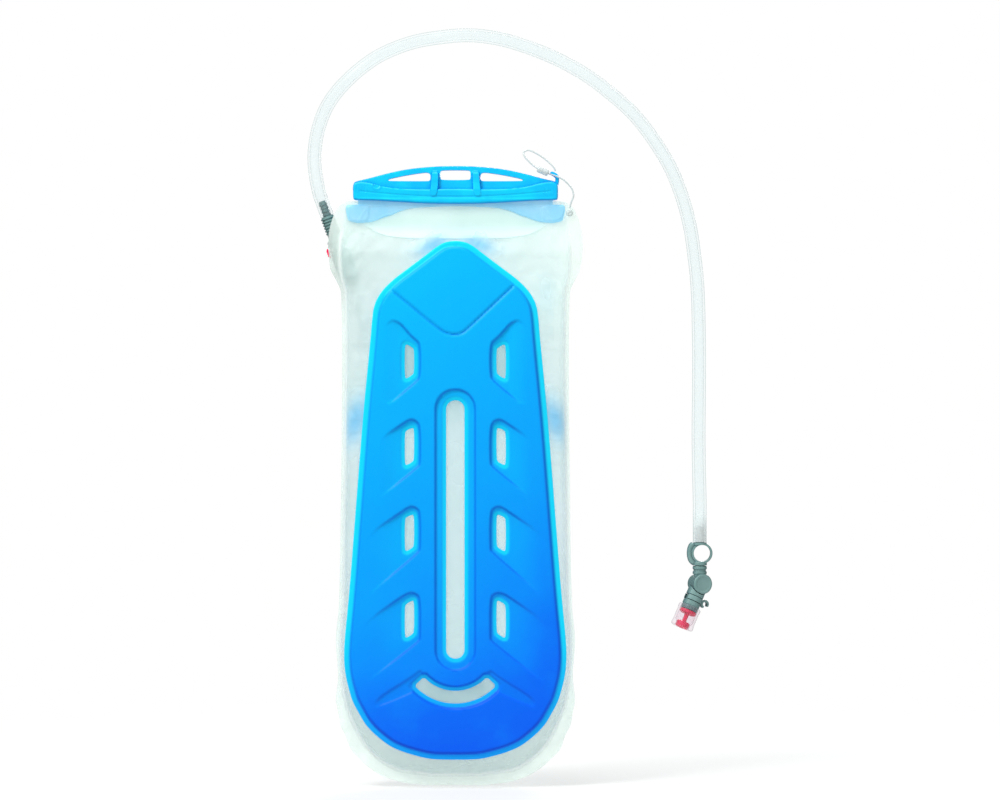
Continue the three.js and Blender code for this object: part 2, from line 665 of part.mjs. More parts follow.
// [radius, z]
const POPPET_PROFILE = [
  [0, -13.85], [1.4, -13.85], [1.4, -19.2], [3.9, -19.2], [3.9, -20.9], [0, -20.9],
];
const TAIL_PROFILE = [
  [BORE_R, -41], [BARB_R - 0.3, -41], [BARB_R, -40], [BARB_R, -30], [5.4, -30], [6.6, -29.4],
  [6.6, -28.3], [4.2, -28.3], [4.2, -27.3], [BORE_R, -27.3],
];

add('qd_plug', qdPlug(), GREY, disconnect);
add('qd_plug_oring', solid(torus(3.6, 0.38).translate(0, 0, -9)), RUBBER, disconnect);
add('qd_socket', qdSocket(), GREY, disconnect);
add('qd_latch_plate', latchPlate(), STEEL, disconnect);
add('qd_release_button', releaseButton(), RED, disconnect);
add('qd_button_spring', buttonSpring, STEEL, disconnect);
add('qd_poppet', latheZ(POPPET_PROFILE, 12), GREY, disconnect);
add('qd_poppet_spring', poppetSpring, STEEL, disconnect);
add('qd_tail_barb', latheZ(TAIL_PROFILE, 12), GREY, disconnect);

// ---------------------------------------------------------------- drinking hose
// [x, z] over the top, from the disconnect to the hanging end
const HOSE_ARCH = [
  [-96.6, 417.5], [-98.1, 427.8], [-98.2, 438.2], [-96.9, 448.5], [-94.2, 458.9], [-90, 469.2],
  [-83.1, 479.6], [-72.8, 490.6], [-62.4, 499.2], [-52.1, 505.8], [-31.4, 514.1],
  [-10.7, 518], [10, 519.4], [30.7, 516.8], [51.4, 510.6], [72.1, 502.0], [92.8, 490.2],
  [113.5, 474], [123.9, 464.2], [136.3, 448.5], [149, 427.8], [157.3, 407.1], [162.8, 386.4],
  [165.9, 365.7], [168, 345], [169.1, 303.6], [169.1, 272.6], [168.8, 241.5], [169.2, 212],
];

// the hose moves over from the disconnect's Y to the valve's in the first eight arch points
const DRINKING_HOSE_PATH = [
  ...[20.2, 26, 32.5, 35].map(qdPoint),
  ...HOSE_ARCH.map(([x, z], i) => [x, QD_Y + (VALVE_Y - QD_Y) * Math.min(1, (i + 1) / 8), z]),
  ...[196, 186, 176, 167.1].map((z) => [VALVE_X, VALVE_Y, z]),
];
add('drinking_hose', hose(DRINKING_HOSE_PATH, 46), CLEAR);

// ---------------------------------------------------------------- bite valve: stem and knuckle
const VALVE_TURN = 22 * DEG;          // the valve is turned about its hose
const EYE_X = 1.5;
const EYE_Z = 159.2;
const EYE_R = 7.3;
const EYE_HOLE_R = 5.8;
const EYE_HALF_Y = 3.2;
const DRUM_Z = 137.9;
const DRUM_R = 7.0;
const DRUM_HALF_Y = 6.2;
const SPINDLE_R = 4.3;

const valve = addGroup(bladder, VALVE_X, VALVE_Y, 0);
valve.rotation.z = VALVE_TURN;
const stem = addGroup(bladder, VALVE_X, VALVE_Y, 0);   // its eye faces the front squarely

// water duct round the left side of the eye, [x, y, z]
const DUCT_PATH = [
  [0, 0, 166.2], [-2.4, 0.3, 165.9], [-5.3, 0.6, 164.2], [-6.5, 0.8, 159.2],
  [-5.3, 0.6, 154.2], [-2.4, 0.3, 152.3], [0, 0, 151.6],
];

// hose barb, round eye with its duct, and the swivel spigot
function inletStem() {
  const duct = sweep(DUCT_PATH, 2.6, 8, 10).intersect(box(-20, 20, -20, 20, 150.7, 166.7));
  const sealGroove = latheZ([[2.25, 147], [3.6, 147], [3.6, 148.6], [2.25, 148.6]], 12);
  return cylZ(BARB_R, 165, 178, 14)
    .add(cylZ(4.9, 164.8, 166.7, 18))
    .add(cylY(EYE_R, -EYE_HALF_Y, EYE_HALF_Y, 26, EYE_X, EYE_Z))
    .add(duct)
    .add(cylZ(5.0, 150.7, 153.4, 14))
    .add(cylZ(2.95, 145.7, 151, 12))
    .subtract(cylY(EYE_HOLE_R, -12, 12, 26, EYE_X, EYE_Z))
    .subtract(sealGroove)
    .subtract(sweep(DUCT_PATH, 1.1, 8, 6))
    .subtract(cylZ(1.35, 165.4, 180, 10))
    .subtract(cylZ(1.35, 140, 152.2, 10));
}

// ribbed swivel collar, front half of the drum and the spindle behind it
function knuckle() {
  const drum = (radius, y0, y1, segments) => cylY(radius, y0, y1, segments, 0, DRUM_Z);
  const swivelCollar = latheZ([
    [0, 144.7], [4.6, 144.7], [4.9, 145.2], [4.9, 146.6], [4.4, 146.9], [4.4, 147.9],
    [4.9, 148.2], [4.9, 149.9], [4.5, 150.4], [0, 150.4],
  ], 14);
  const neck = cylZ(4.5, 140, 145, 14).subtract(box(-8, 8, 0.1, 8, 139, 146));
  const sealGroove = drum(SPINDLE_R + 1, 4.1, 5.7, 12).subtract(drum(3.4, 3, 7, 12));
  return swivelCollar
    .add(drum(DRUM_R - 0.5, -DRUM_HALF_Y, -DRUM_HALF_Y + 0.6, 22))
    .add(drum(DRUM_R, -DRUM_HALF_Y + 0.5, 0.1, 22))
    .add(drum(SPINDLE_R, 0, 6.5, 16))
    .add(neck)
    .subtract(cylZ(3.25, 145.4, 151, 14))
    .subtract(cylZ(1.5, DRUM_Z, 146, 8))
    .subtract(drum(1.5, -1.5, 5.2, 8))
    .subtract(rod([0, 2.2, DRUM_Z], [-3, 2.2, DRUM_Z - 6.4], 1.2, 6))
    .subtract(sealGroove);
}

function pivotCap() {
  return cylY(5.4, 6.8, 7.7, 16, 0, DRUM_Z).add(cylY(4.6, 7.6, 8.1, 16, 0, DRUM_Z));
}

const pivotRing = torus(3.98, 0.34).rotateX(Math.PI / 2).translate(0, 4.9, DRUM_Z);
add('valve_inlet_stem', inletStem(), GREY, stem);
add('stem_oring', solid(torus(2.78, 0.3).translate(0, 0, 147.8)), RUBBER, stem);
add('knuckle_drum', knuckle(), GREY, valve);
add('pivot_oring', solid(pivotRing), RUBBER, valve);
add('pivot_cap', pivotCap(), GREY, valve);

// ---------------------------------------------------------------- bite valve: head
const HEAD_TILT = 25 * DEG;           // the barrel leans on its pivot
const BARREL_R = 6.2;
const SHEATH_R = 8.0;
const CORE_DISC_R = 4.7;
const LEVER_Z = -11.5;                // middle of the lever

// everything that turns on the drum, its own -Z along the barrel
const head = addGroup(valve, 0, 0, DRUM_Z);
head.rotation.y = HEAD_TILT;

function barrel() {
  const leverGroove = latheZ([[5.2, -9.5], [9, -9.5], [9, -13.5], [5.2, -13.5]], 20);
  return cylZ(BARREL_R, -17, 0, 20)
    .subtract(leverGroove)
    .add(cylY(6.6, 0.4, 6.2, 20))
    .subtract(cylY(DRUM_R + 0.35, -12, 0.4, 22))
    .subtract(cylY(SPINDLE_R + 0.35, 0, 9, 16))
    .add(cylZ(5.9, -20, -16.9, 18))
    .subtract(cylZ(2.2, -22, -4, 10));
}

// a split ring round the barrel, open at -X, with a C-shaped thumb tab
function shutoffLever() {
  const halfOpening = 24 * DEG;
  const from = Math.PI + halfOpening;
  const to = Math.PI * 3 - halfOpening;
  const ring = new THREE.Shape();
  ring.absarc(0, 0, 6.5, from, to, false);
  ring.absarc(0, 0, 5.5, to, from, true);
  const tab = [
    ...arc(9.1, LEVER_Z, 3.0, -20, 270, 8),
    ...arc(9.1, LEVER_Z, 1.6, 270, -20, 8),
  ];
  return extrudeZ(ring, -13.2, 3.4, 10)
    .add(centredSlab(tab, 1.8))
    .subtract(cylZ(5.45, -20, 0, 20));
}

function biteCore() {
  let core = latheZ([
    [0, -17.6], [1.8, -17.6], [1.8, -20.4], [5.9, -20.4], [5.9, -22.4], [4.6, -23], [1.5, -23],
    [1.5, -28.4], [CORE_DISC_R - 0.4, -28.8], [CORE_DISC_R, -29.4], [CORE_DISC_R, -32.8],
    [CORE_DISC_R - 0.4, -33.1], [0, -33.1],
  ], 14);
  // four holes through the flange
  for (const [x, y] of arc(0, 0, 3.7, 45, 315, 3)) {
    core = core.subtract(cylZ(1.05, -24, -19, 6).translate([x, y, 0]));
  }
  return core;
}

// [radius, z]
const SHEATH_PROFILE = [
  [SHEATH_R - 0.5, -17.3], [6.3, -17.3], [6.3, -28.6], [5.1, -30.2], [5.1, -33],
  [SHEATH_R - 0.6, -33], [SHEATH_R, -32.4], [SHEATH_R, -17.8],
];

add('valve_barrel', barrel(), GREY, head);
add('shutoff_lever', shutoffLever(), GREY, head);
add('bite_core', biteCore(), RED, head);
add('bite_sheath', latheZ(SHEATH_PROFILE, 18), CLEAR, head);

export default bladder;
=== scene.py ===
"""Drinking bladder with a slide closure, a backer plate, a quick disconnect and a bite valve.

It stands upright in the X-Z plane: X is across, Z is up from the bladder's bottom edge, and
-Y is the front, where the backer plate lies. Left and right are as seen from the front.
Lengths are millimetres, turned into metres by MM; shader graphs and the stage use metres.
"""
import bpy
import bmesh
import json
import math
import numpy as np
from mathutils import Vector, Matrix, geometry, noise


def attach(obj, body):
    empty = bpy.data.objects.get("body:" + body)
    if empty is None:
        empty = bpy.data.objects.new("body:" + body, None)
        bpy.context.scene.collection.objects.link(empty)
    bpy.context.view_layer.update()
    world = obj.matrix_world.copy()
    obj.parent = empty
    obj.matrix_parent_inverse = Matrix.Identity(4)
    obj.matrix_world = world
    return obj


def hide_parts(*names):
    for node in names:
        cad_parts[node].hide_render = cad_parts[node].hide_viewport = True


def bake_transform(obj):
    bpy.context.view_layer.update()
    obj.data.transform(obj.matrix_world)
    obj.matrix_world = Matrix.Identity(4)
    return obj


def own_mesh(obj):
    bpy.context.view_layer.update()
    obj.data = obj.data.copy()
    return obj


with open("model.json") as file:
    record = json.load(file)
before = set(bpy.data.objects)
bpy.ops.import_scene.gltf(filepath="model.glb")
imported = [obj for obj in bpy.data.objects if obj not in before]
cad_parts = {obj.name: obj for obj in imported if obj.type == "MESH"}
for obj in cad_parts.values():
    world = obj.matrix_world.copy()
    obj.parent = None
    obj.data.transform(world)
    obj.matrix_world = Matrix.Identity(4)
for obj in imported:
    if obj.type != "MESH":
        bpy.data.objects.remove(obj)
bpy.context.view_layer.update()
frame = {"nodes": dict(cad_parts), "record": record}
MM = 0.001

# ---------------------------------------------------------------- driving dimensions
FILM_FACE = 0.15 + 0.8                  # weld plane gap plus film thickness
MOUTH_Z = 386.5
PLATE_BACK = -10.25
PLATE_RIM_T = 1.3
PLATE_PANEL_T = 2.5
PLATE_RIM_WIDTH = 4.2
HOSE_RADIUS = 4.75
BORE_RADIUS = 3.2
QD_CENTRE = (-82.4, 18.0, 374.7)        # quick disconnect
QD_TILT = math.radians(20)
VALVE_X = 169.6
VALVE_Y = 21.0
VALVE_TURN = math.radians(22)
HEAD_TILT = math.radians(25)
EYE_X = 1.5                             # round eye in the valve's inlet stem
EYE_Z = 159.2
EYE_HALF = 3.2
DRUM_Z = 137.9
PORT_Z = 62.5
PORT_LEAN = math.radians(8.4)
PORT_TURN = math.radians(25)
RAIL_GAP = 1.25                         # from the middle plane to a rail's inner face
UP = Vector((0, 0, 1))


def by_quality(full):
    return full


# ---------------------------------------------------------------- curves and outlines
def monotone_curve(rows):
    """Smooth curve through (position, value) rows that never overshoots them."""
    knots, values = np.array(rows, float).T
    gaps = np.diff(knots)
    slopes = np.diff(values) / gaps
    tangents = np.zeros_like(values)
    tangents[0], tangents[-1] = slopes[0], slopes[-1]
    for i in range(1, len(knots) - 1):
        if slopes[i - 1] * slopes[i] > 0:
            before = 2 * gaps[i] + gaps[i - 1]
            after = gaps[i] + 2 * gaps[i - 1]
            tangents[i] = (before + after) / (before / slopes[i - 1] + after / slopes[i])

    def curve(at):
        at = np.clip(np.asarray(at, float), knots[0], knots[-1])
        i = np.clip(np.searchsorted(knots, at, side="right") - 1, 0, len(knots) - 2)
        t = (at - knots[i]) / gaps[i]
        return (values[i] * (2 * t**3 - 3 * t**2 + 1)
                + gaps[i] * tangents[i] * (t**3 - 2 * t**2 + t)
                + values[i + 1] * (-2 * t**3 + 3 * t**2)
                + gaps[i] * tangents[i + 1] * (t**3 - t**2))
    return curve


def smoothstep(start, end, value):
    t = np.clip((value - start) / (end - start), 0, 1)
    return t * t * (3 - 2 * t)


def bell(offset, width):
    return np.exp(-(offset / width) ** 2)


def edge_drop(distance, radius):
    """How far a rounded edge falls, as a part of its depth, at a distance from the rim."""
    return 1 - np.sqrt(np.clip(1 - (1 - np.clip(distance / radius, 0, 1)) ** 2, 0, 1))


def resample(line, step, closed=True):
    points = np.array(line, float)
    if closed:
        points = np.vstack([points, points[:1]])
    lengths = np.linalg.norm(np.diff(points, axis=0), axis=1)
    along = np.concatenate([[0], np.cumsum(lengths)])
    count = max(3, int(round(along[-1] / step)))
    at = np.linspace(0, along[-1], count + (0 if closed else 1), endpoint=not closed)
    return np.stack([np.interp(at, along, column) for column in points.T], 1)


def spline(points, per_span, spacing):
    """Centripetal Catmull-Rom curve through the points, evenly resampled."""
    points = np.array(points, float)
    points = np.vstack([2 * points[0] - points[1], points, 2 * points[-1] - points[-2]])
    curve = []
    for p0, p1, p2, p3 in zip(points, points[1:], points[2:], points[3:]):
        d0, d1, d2 = [max(np.linalg.norm(b - a) ** 0.5, 1e-4)
                      for a, b in ((p0, p1), (p1, p2), (p2, p3))]
        t1 = ((p1 - p0) / d0 - (p2 - p0) / (d0 + d1) + (p2 - p1) / d1) * d1
        t2 = ((p2 - p1) / d1 - (p3 - p1) / (d1 + d2) + (p3 - p2) / d2) * d1
        for k in range(per_span):
            t = k / per_span
            curve.append(p1 + t1 * t + (-3 * p1 + 3 * p2 - 2 * t1 - t2) * t**2
                         + (2 * p1 - 2 * p2 + t1 + t2) * t**3)
    curve.append(points[-2])
    return resample(curve, spacing, closed=False)


def soften(outline):
    """Closed outline with its corners cut twice."""
    points = np.array(outline, float)
    for _ in range(2):
        after = np.roll(points, -1, 0)
        points = np.stack([0.75 * points + 0.25 * after, 0.25 * points + 0.75 * after], 1)
        points = points.reshape(-1, 2)
    return points


def symmetric(rows):
    """Closed outline from (z, half width) rows, bottom first."""
    right = [(x, z) for z, x in rows]
    return np.array(right + [(-x, z) for x, z in reversed(right)])


def mirrored(half):
    """Closed outline from its x >= 0 half; points on the axis aren't doubled."""
    right = [tuple(p) for p in half]
    return np.array(right + [(-x, z) for x, z in reversed(right) if abs(x) > 1e-6])


def arc(centre_x, centre_z, radius, angles):
    return [(centre_x + radius * math.cos(a), centre_z + radius * math.sin(a)) for a in angles]


def capsule(bottom, top, radius):
    half_turn = [math.pi * i / 16 for i in range(17)]
    return np.array(arc(0, bottom + radius, radius, [math.pi + a for a in half_turn])
                    + arc(0, top - radius, radius, half_turn))


def arc_slot(inner, outer, half_angle, centre_z, corner=0.16):
    """Arc-shaped slot, open upwards; corner is cut off its ends as a part of its width."""
    cut = corner * (outer - inner)
    points = []
    for near, far, sign in ((outer, inner, 1), (inner, outer, -1)):
        limit = half_angle - math.degrees(cut / near)
        angles = [math.radians(-90 + sign * (-limit + 2 * limit * i / 40)) for i in range(41)]
        points += arc(0, centre_z, near, angles)
        end = math.radians(-90 + sign * half_angle)
        for radius in (near - sign * cut, far + sign * cut):
            points += arc(0, centre_z, radius, [end])
    return np.array(points)


def inset(points, outline):
    """Distance from points to a closed outline: positive inside, negative outside."""
    starts = np.array(outline, float)
    best = np.full(len(points), 1e9)
    inside = np.zeros(len(points), bool)
    x, z = points[:, 0], points[:, 1]
    for (ax, az), (bx, bz) in zip(starts, np.roll(starts, -1, 0)):
        dx, dz = bx - ax, bz - az
        square = dx * dx + dz * dz
        if square < 1e-12:
            continue
        t = np.clip(((x - ax) * dx + (z - az) * dz) / square, 0, 1)
        best = np.minimum(best, np.hypot(x - ax - t * dx, z - az - t * dz))
        if az != bz:
            inside ^= ((az > z) != (bz > z)) & (x < (bx - ax) * (z - az) / (bz - az) + ax)
    return np.where(inside, best, -best)


def inset_any(points, outlines):
    return np.max([inset(points, outline) for outline in outlines], axis=0)


# ---------------------------------------------------------------- triangulated sheets
def hex_grid(low, high, step):
    """Hexagonal grid, slightly shaken so that no four points share a circle."""
    rng = np.random.default_rng(1)
    xs = np.arange(low[0], high[0] + step, step)
    zs = np.arange(low[1], high[1] + step, step * 0.866)
    x, z = np.meshgrid(xs, zs)
    x = x + (np.arange(len(zs)) % 2)[:, None] * step / 2
    points = np.stack([x.ravel(), z.ravel()], 1)
    return points + rng.uniform(-0.02, 0.02, points.shape) * step


def triangulate(loops, grid, inside):
    """Triangles where inside(points) is true; the loops are kept as edges."""
    edges, start = [], 0
    for loop in loops:
        edges += [(start + i, start + (i + 1) % len(loop)) for i in range(len(loop))]
        start += len(loop)
    points = np.vstack([*loops, grid])
    result = geometry.delaunay_2d_cdt([Vector(p) for p in points.tolist()], edges, [], 0, 1e-5,
                                      False)
    points = np.array([v[:] for v in result[0]])
    tris = np.array([f for f in result[2] if len(f) == 3])
    tris = tris[inside(points[tris].mean(1))]
    points, tris = compact(points, tris)
    a, b, c = points[tris[:, 0]], points[tris[:, 1]], points[tris[:, 2]]
    area = (b[:, 0] - a[:, 0]) * (c[:, 1] - a[:, 1]) - (b[:, 1] - a[:, 1]) * (c[:, 0] - a[:, 0])
    tris[area < 0] = tris[area < 0][:, ::-1]
    return points, tris[np.abs(area) > 1e-7]


def compact(points, tris):
    """Drops the points that no triangle uses."""
    used = np.unique(tris)
    renumber = np.full(len(points), -1)
    renumber[used] = np.arange(len(used))
    return points[used], renumber[tris]


def boundary(tris):
    """Directed edges that only one triangle uses."""
    edges = np.vstack([tris[:, [0, 1]], tris[:, [1, 2]], tris[:, [2, 0]]]).tolist()
    seen = {tuple(e) for e in edges}
    return [(a, b) for a, b in edges if (b, a) not in seen]


# ---------------------------------------------------------------- meshes
def make_object(name, points, faces, angle=35, scale=MM):
    mesh = bpy.data.meshes.new(name)
    mesh.from_pydata((np.asarray(points, float) * scale).tolist(), [],
                     [list(map(int, f)) for f in faces])
    mesh.update()
    thing = bpy.data.objects.new(name, mesh)
    bpy.context.scene.collection.objects.link(thing)
    tidy(thing, angle)
    return thing


def tidy(thing, angle=35, merge=0.0):
    """Outward normals, smooth faces and sharp edges above an angle in degrees."""
    edit = bmesh.new()
    edit.from_mesh(thing.data)
    if merge:
        bmesh.ops.remove_doubles(edit, verts=edit.verts, dist=merge * MM)
    bmesh.ops.recalc_face_normals(edit, faces=edit.faces)
    limit = math.radians(angle)
    for face in edit.faces:
        face.smooth = True
    for edge in edit.edges:
        edge.smooth = len(edge.link_faces) == 2 and edge.calc_face_angle(0) < limit
    edit.to_mesh(thing.data)
    edit.free()
    thing.data.update()


def move(thing, matrix, angle=35):
    thing.data.transform(matrix)
    tidy(thing, angle)


def bake(thing, angle=35):
    """Applies the modifiers to the mesh."""
    graph = bpy.context.evaluated_depsgraph_get()
    mesh = bpy.data.meshes.new_from_object(thing.evaluated_get(graph))
    thing.modifiers.clear()
    old, thing.data = thing.data, mesh
    bpy.data.meshes.remove(old)
    mesh.name = thing.name
    tidy(thing, angle)


def drop(thing):
    mesh = thing.data
    bpy.data.objects.remove(thing)
    if mesh.users == 0:
        bpy.data.meshes.remove(mesh)


def at_mm(x=0, y=0, z=0):
    return Matrix.Translation((x * MM, y * MM, z * MM))


def turn(angle, axis):
    return Matrix.Rotation(angle, 4, axis)


def along_y(x=0, y=0, z=0):
    """Frame at a point with its turning axis along Y."""
    return at_mm(x, y, z) @ turn(-math.pi / 2, "X")


def aim(start, end):
    """Frame at start whose Z runs to end, and the distance between them."""
    start, end = Vector(start), Vector(end)
    swing = UP.rotation_difference(end - start).to_matrix().to_4x4()
    return Matrix.Translation(start * MM) @ swing, (end - start).length


def relief(name, plan, tris, front, back, angle):
    """Closed body between two height fields over the same triangles."""
    count = len(plan)
    points = np.vstack([np.stack([plan[:, 0], y, plan[:, 1]], 1) for y in (front, back)])
    faces = [tuple(f) for f in tris] + [tuple(f[::-1] + count) for f in tris]
    faces += [(b, a, a + count, b + count) for a, b in boundary(tris)]
    return make_object(name, points, faces, angle)


def sweep(name, path, radius, sides, hole=0.0):
    """Round section, solid or hollow, along a dense path."""
    path = np.array(path, float)
    tangents = np.gradient(path, axis=0)
    tangents /= np.linalg.norm(tangents, axis=1)[:, None]
    side = np.array([0, 1.0, 0]) if abs(tangents[0][1]) < 0.9 else np.array([1.0, 0, 0])
    normal = np.cross(np.cross(tangents[0], side), tangents[0])
    normal /= np.linalg.norm(normal)
    radii = [radius, hole] if hole else [radius]
    points = []
    for i, (point, tangent) in enumerate(zip(path, tangents)):
        if i:
            normal = normal - tangent * (normal @ tangent)
            normal /= np.linalg.norm(normal)
        binormal = np.cross(tangent, normal)
        for ring_radius in radii:
            for a in range(sides):
                w = 2 * math.pi * a / sides
                points.append(point + ring_radius * (math.cos(w) * normal
                                                     + math.sin(w) * binormal))

    def index(i, wall, a):
        return (i * len(radii) + wall) * sides + a % sides

    faces = []
    last = len(path) - 1
    for i in range(last):
        for a in range(sides):
            faces.append((index(i, 0, a), index(i, 0, a + 1),
                          index(i + 1, 0, a + 1), index(i + 1, 0, a)))
            if hole:
                faces.append((index(i, 1, a + 1), index(i, 1, a),
                              index(i + 1, 1, a), index(i + 1, 1, a + 1)))
    if hole:
        for a in range(sides):
            faces.append((index(0, 0, a + 1), index(0, 0, a),
                          index(0, 1, a), index(0, 1, a + 1)))
            faces.append((index(last, 0, a), index(last, 0, a + 1),
                          index(last, 1, a + 1), index(last, 1, a)))
    else:
        faces.append(tuple(index(0, 0, a) for a in range(sides))[::-1])
        faces.append(tuple(index(last, 0, a) for a in range(sides)))
    return make_object(name, points, faces, 40)


def rounded(profile, corner, arc_steps):
    """Profile with its corners cut by small arcs, except on the axis."""
    points = [np.array(p, float) for p in profile]
    result = []
    for i, point in enumerate(points):
        before, after = points[i - 1], points[(i + 1) % len(points)]
        if point[0] < 1e-6:
            result.append(point)
            continue
        length_in, length_out = np.linalg.norm(before - point), np.linalg.norm(after - point)
        cut = min(corner, length_in * 0.45, length_out * 0.45)
        start = point + (before - point) / length_in * cut
        end = point + (after - point) / length_out * cut
        for k in range(arc_steps + 1):
            t = k / arc_steps
            result.append((1 - t) ** 2 * start + 2 * t * (1 - t) * point + t * t * end)
    return result


def lathe(name, profile, segments=48, matrix=None, corner=0.0, arc_steps=3, angle=35):
    """Closed profile of (radius, height) turned about Z, then placed by the matrix."""
    if corner:
        profile = rounded(profile, corner, arc_steps)
    profile = np.array(profile, float)
    points, faces = [], []
    for radius, z in profile:
        for a in range(segments):
            w = 2 * math.pi * a / segments
            points.append((radius * math.cos(w), radius * math.sin(w), z))
    for i in range(len(profile)):
        j = (i + 1) % len(profile)
        if profile[i][0] < 1e-6 and profile[j][0] < 1e-6:
            continue
        for a in range(segments):
            b = (a + 1) % segments
            faces.append((i * segments + a, i * segments + b,
                          j * segments + b, j * segments + a))
    thing = make_object(name, points, faces, angle)
    if matrix is not None:
        thing.data.transform(matrix)
    tidy(thing, angle, merge=1e-4)
    return thing


def ridges(first, pitch, *shape, count=4):
    """Profile points of a shape of (radius, rise) repeated up the axis."""
    return [(radius, first + i * pitch + rise) for i in range(count) for radius, rise in shape]


def slab(name, outline, y_back, depth, bevel=0.0):
    """Outline in the X-Z plane, thick from y_back forwards, with rounded edges."""
    points = np.array(outline, float)
    after = np.roll(points, -1, 0)
    if np.sum(points[:, 0] * after[:, 1] - after[:, 0] * points[:, 1]) < 0:
        points = points[::-1]
    n = len(points)
    corners = [(x, y, z) for y in (y_back, y_back - depth) for x, z in points]
    faces = [tuple(range(n)), tuple(range(2 * n - 1, n - 1, -1))]
    faces += [(i, n + i, n + (i + 1) % n, (i + 1) % n) for i in range(n)]
    thing = make_object(name, corners, faces)
    if bevel:
        edge = thing.modifiers.new("b", "BEVEL")
        edge.width = bevel * MM
        edge.segments = 3
        edge.limit_method = "ANGLE"
        edge.angle_limit = math.radians(40)
        bake(thing)
    return thing


def box(x0, x1, z0, z1, y_back, depth, bevel=0.0):
    outline = [(x0, z0), (x1, z0), (x1, z1), (x0, z1)]
    return slab("box", outline, y_back, depth, bevel)


def cylinder(radius, start, end, segments=40, end_radius=None, bevel=0.0):
    matrix, length = aim(start, end)
    end_radius = radius if end_radius is None else end_radius
    profile = [(0, 0), (radius, 0), (end_radius, length), (0, length)]
    return lathe("cylinder", profile, segments, matrix, corner=bevel)


def torus(name, ring_radius, radius, z, segments, sides, matrix=None):
    angles = [2 * math.pi * i / sides for i in range(sides)]
    return lathe(name, arc(ring_radius, z, radius, angles), segments, matrix, angle=60)


def boolean(thing, others, operation="DIFFERENCE", angle=35):
    for other in others:
        cut = thing.modifiers.new("b", "BOOLEAN")
        cut.operation = operation
        cut.object = other
        cut.solver = "MANIFOLD"
        bake(thing, angle)
        drop(other)


def fuse(name, parts, voxel, ratio, smooth=2):
    """Overlapping closed forms made into one skin with small fillets."""
    points, faces = [], []
    for part in parts:
        start = len(points)
        points += [v.co[:] for v in part.data.vertices]
        faces += [tuple(start + i for i in f.vertices) for f in part.data.polygons]
        drop(part)
    thing = make_object(name, points, faces, scale=1)
    skin = thing.modifiers.new("r", "REMESH")
    skin.mode = "VOXEL"
    skin.voxel_size = voxel * MM
    skin.use_smooth_shade = True
    relax = thing.modifiers.new("s", "SMOOTH")
    relax.factor = 0.5
    relax.iterations = smooth
    thing.modifiers.new("d", "DECIMATE").ratio = ratio
    bake(thing, 60)
    return thing


def dress(thing, slot, *nodes, material=None):
    """Gives a piece its slot's material and hides the CAD nodes it stands for."""
    thing.data.materials.clear()
    thing.data.materials.append(material or MATERIALS[slot])
    if nodes:
        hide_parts(*nodes)


def place(thing, body, slot, *nodes, material=None):
    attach(thing, body)
    dress(thing, slot, *nodes, material=material)


def add_attribute(mesh, name, values):
    layer = mesh.attributes.new(name, "FLOAT", "POINT")
    layer.data.foreach_set("value", values.astype(np.float32))


# ---------------------------------------------------------------- measured curves
# (z, half width) of the weld flange's cut edge
flange_half = monotone_curve([
    [0, 20], [2, 37], [9, 55], [17, 65], [25.5, 72.8], [33.8, 75.6], [42, 79.7], [50.4, 81],
    [58.7, 82.5], [75, 81], [100, 82.5], [125, 80.4], [200, 79], [300, 78.3], [340, 79],
    [348.5, 82.5], [356.7, 86.6], [365, 87.3], [373.3, 88], [381.6, 87.3], [390, 85.2],
    [400, 79.7], [402.6, 75], [403, 67], [409, 66]])
# (z, half width) of the weld line
body_half = monotone_curve([
    [0, 12], [2, 14], [7.3, 17], [10.6, 39], [13.8, 46], [23, 58], [29, 63], [45, 71.4],
    [58, 76], [75, 78.5], [100, 79.5], [125, 77.5], [160, 77], [200, 76.5], [250, 76],
    [300, 75.5], [340, 76], [352, 79], [366, 80], [376, 79.5], [386.5, 77], [400, 72],
    [402.6, 68], [403, 61], [409, 60]])
# (z, bulge) of the front and back films
front_depth = monotone_curve([
    [7.3, 0], [8.2, 4.2], [10.6, 7], [13.8, 8.4], [18, 9], [366, 9], [376, 5.5], [386.5, 0],
    [409, 0]])
back_depth = monotone_curve([
    [7.3, 0], [8.2, 5], [10.6, 10], [13.8, 14.5], [18, 18.5], [25.5, 23.5], [34, 27.5],
    [45, 31.5], [58, 34.5], [75, 37], [100, 38.5], [125, 39], [160, 39], [200, 38.5],
    [250, 37.5], [300, 35.5], [325, 32.5], [340, 28.5], [352, 24], [366, 16.5], [376, 8.5],
    [386.5, 0], [409, 0]])
# (x, z) of the lower edges of the mouth collars and the closure rails
collar_low = monotone_curve([
    [0, 376.9], [33, 377.4], [45, 378.6], [54, 381.2], [60, 384.8], [62, 386.2]])
rail_low = monotone_curve([
    [0, 399.5], [15, 399], [30, 398], [38, 396], [45, 393], [49, 391.8], [54.9, 389.5],
    [60, 388.3], [66.6, 387.8], [72, 388.8], [74.9, 391], [75.5, 396.8]])
# (z, half width) of the backer plate
PLATE_ROWS = [
    [18.6, 10], [19.3, 20], [25.5, 41.4], [33.8, 53.1], [42.1, 61.4], [50.4, 66.2],
    [58.7, 70.7], [66.9, 73.1], [75.2, 75.2], [86, 76.5], [100, 76.2], [133.2, 72.8],
    [182.9, 69], [232.5, 65.2], [265.7, 62.4], [307, 58.3], [323.6, 57], [331.9, 55.5],
    [340.2, 51], [348.5, 42.8], [356.7, 31.7], [365, 20.7], [373.3, 10], [375, 3]]
PLATE = soften(symmetric(PLATE_ROWS))


def edge_rows(half_width, stations):
    return [[z, float(half_width(z))] for z in np.concatenate(stations)]


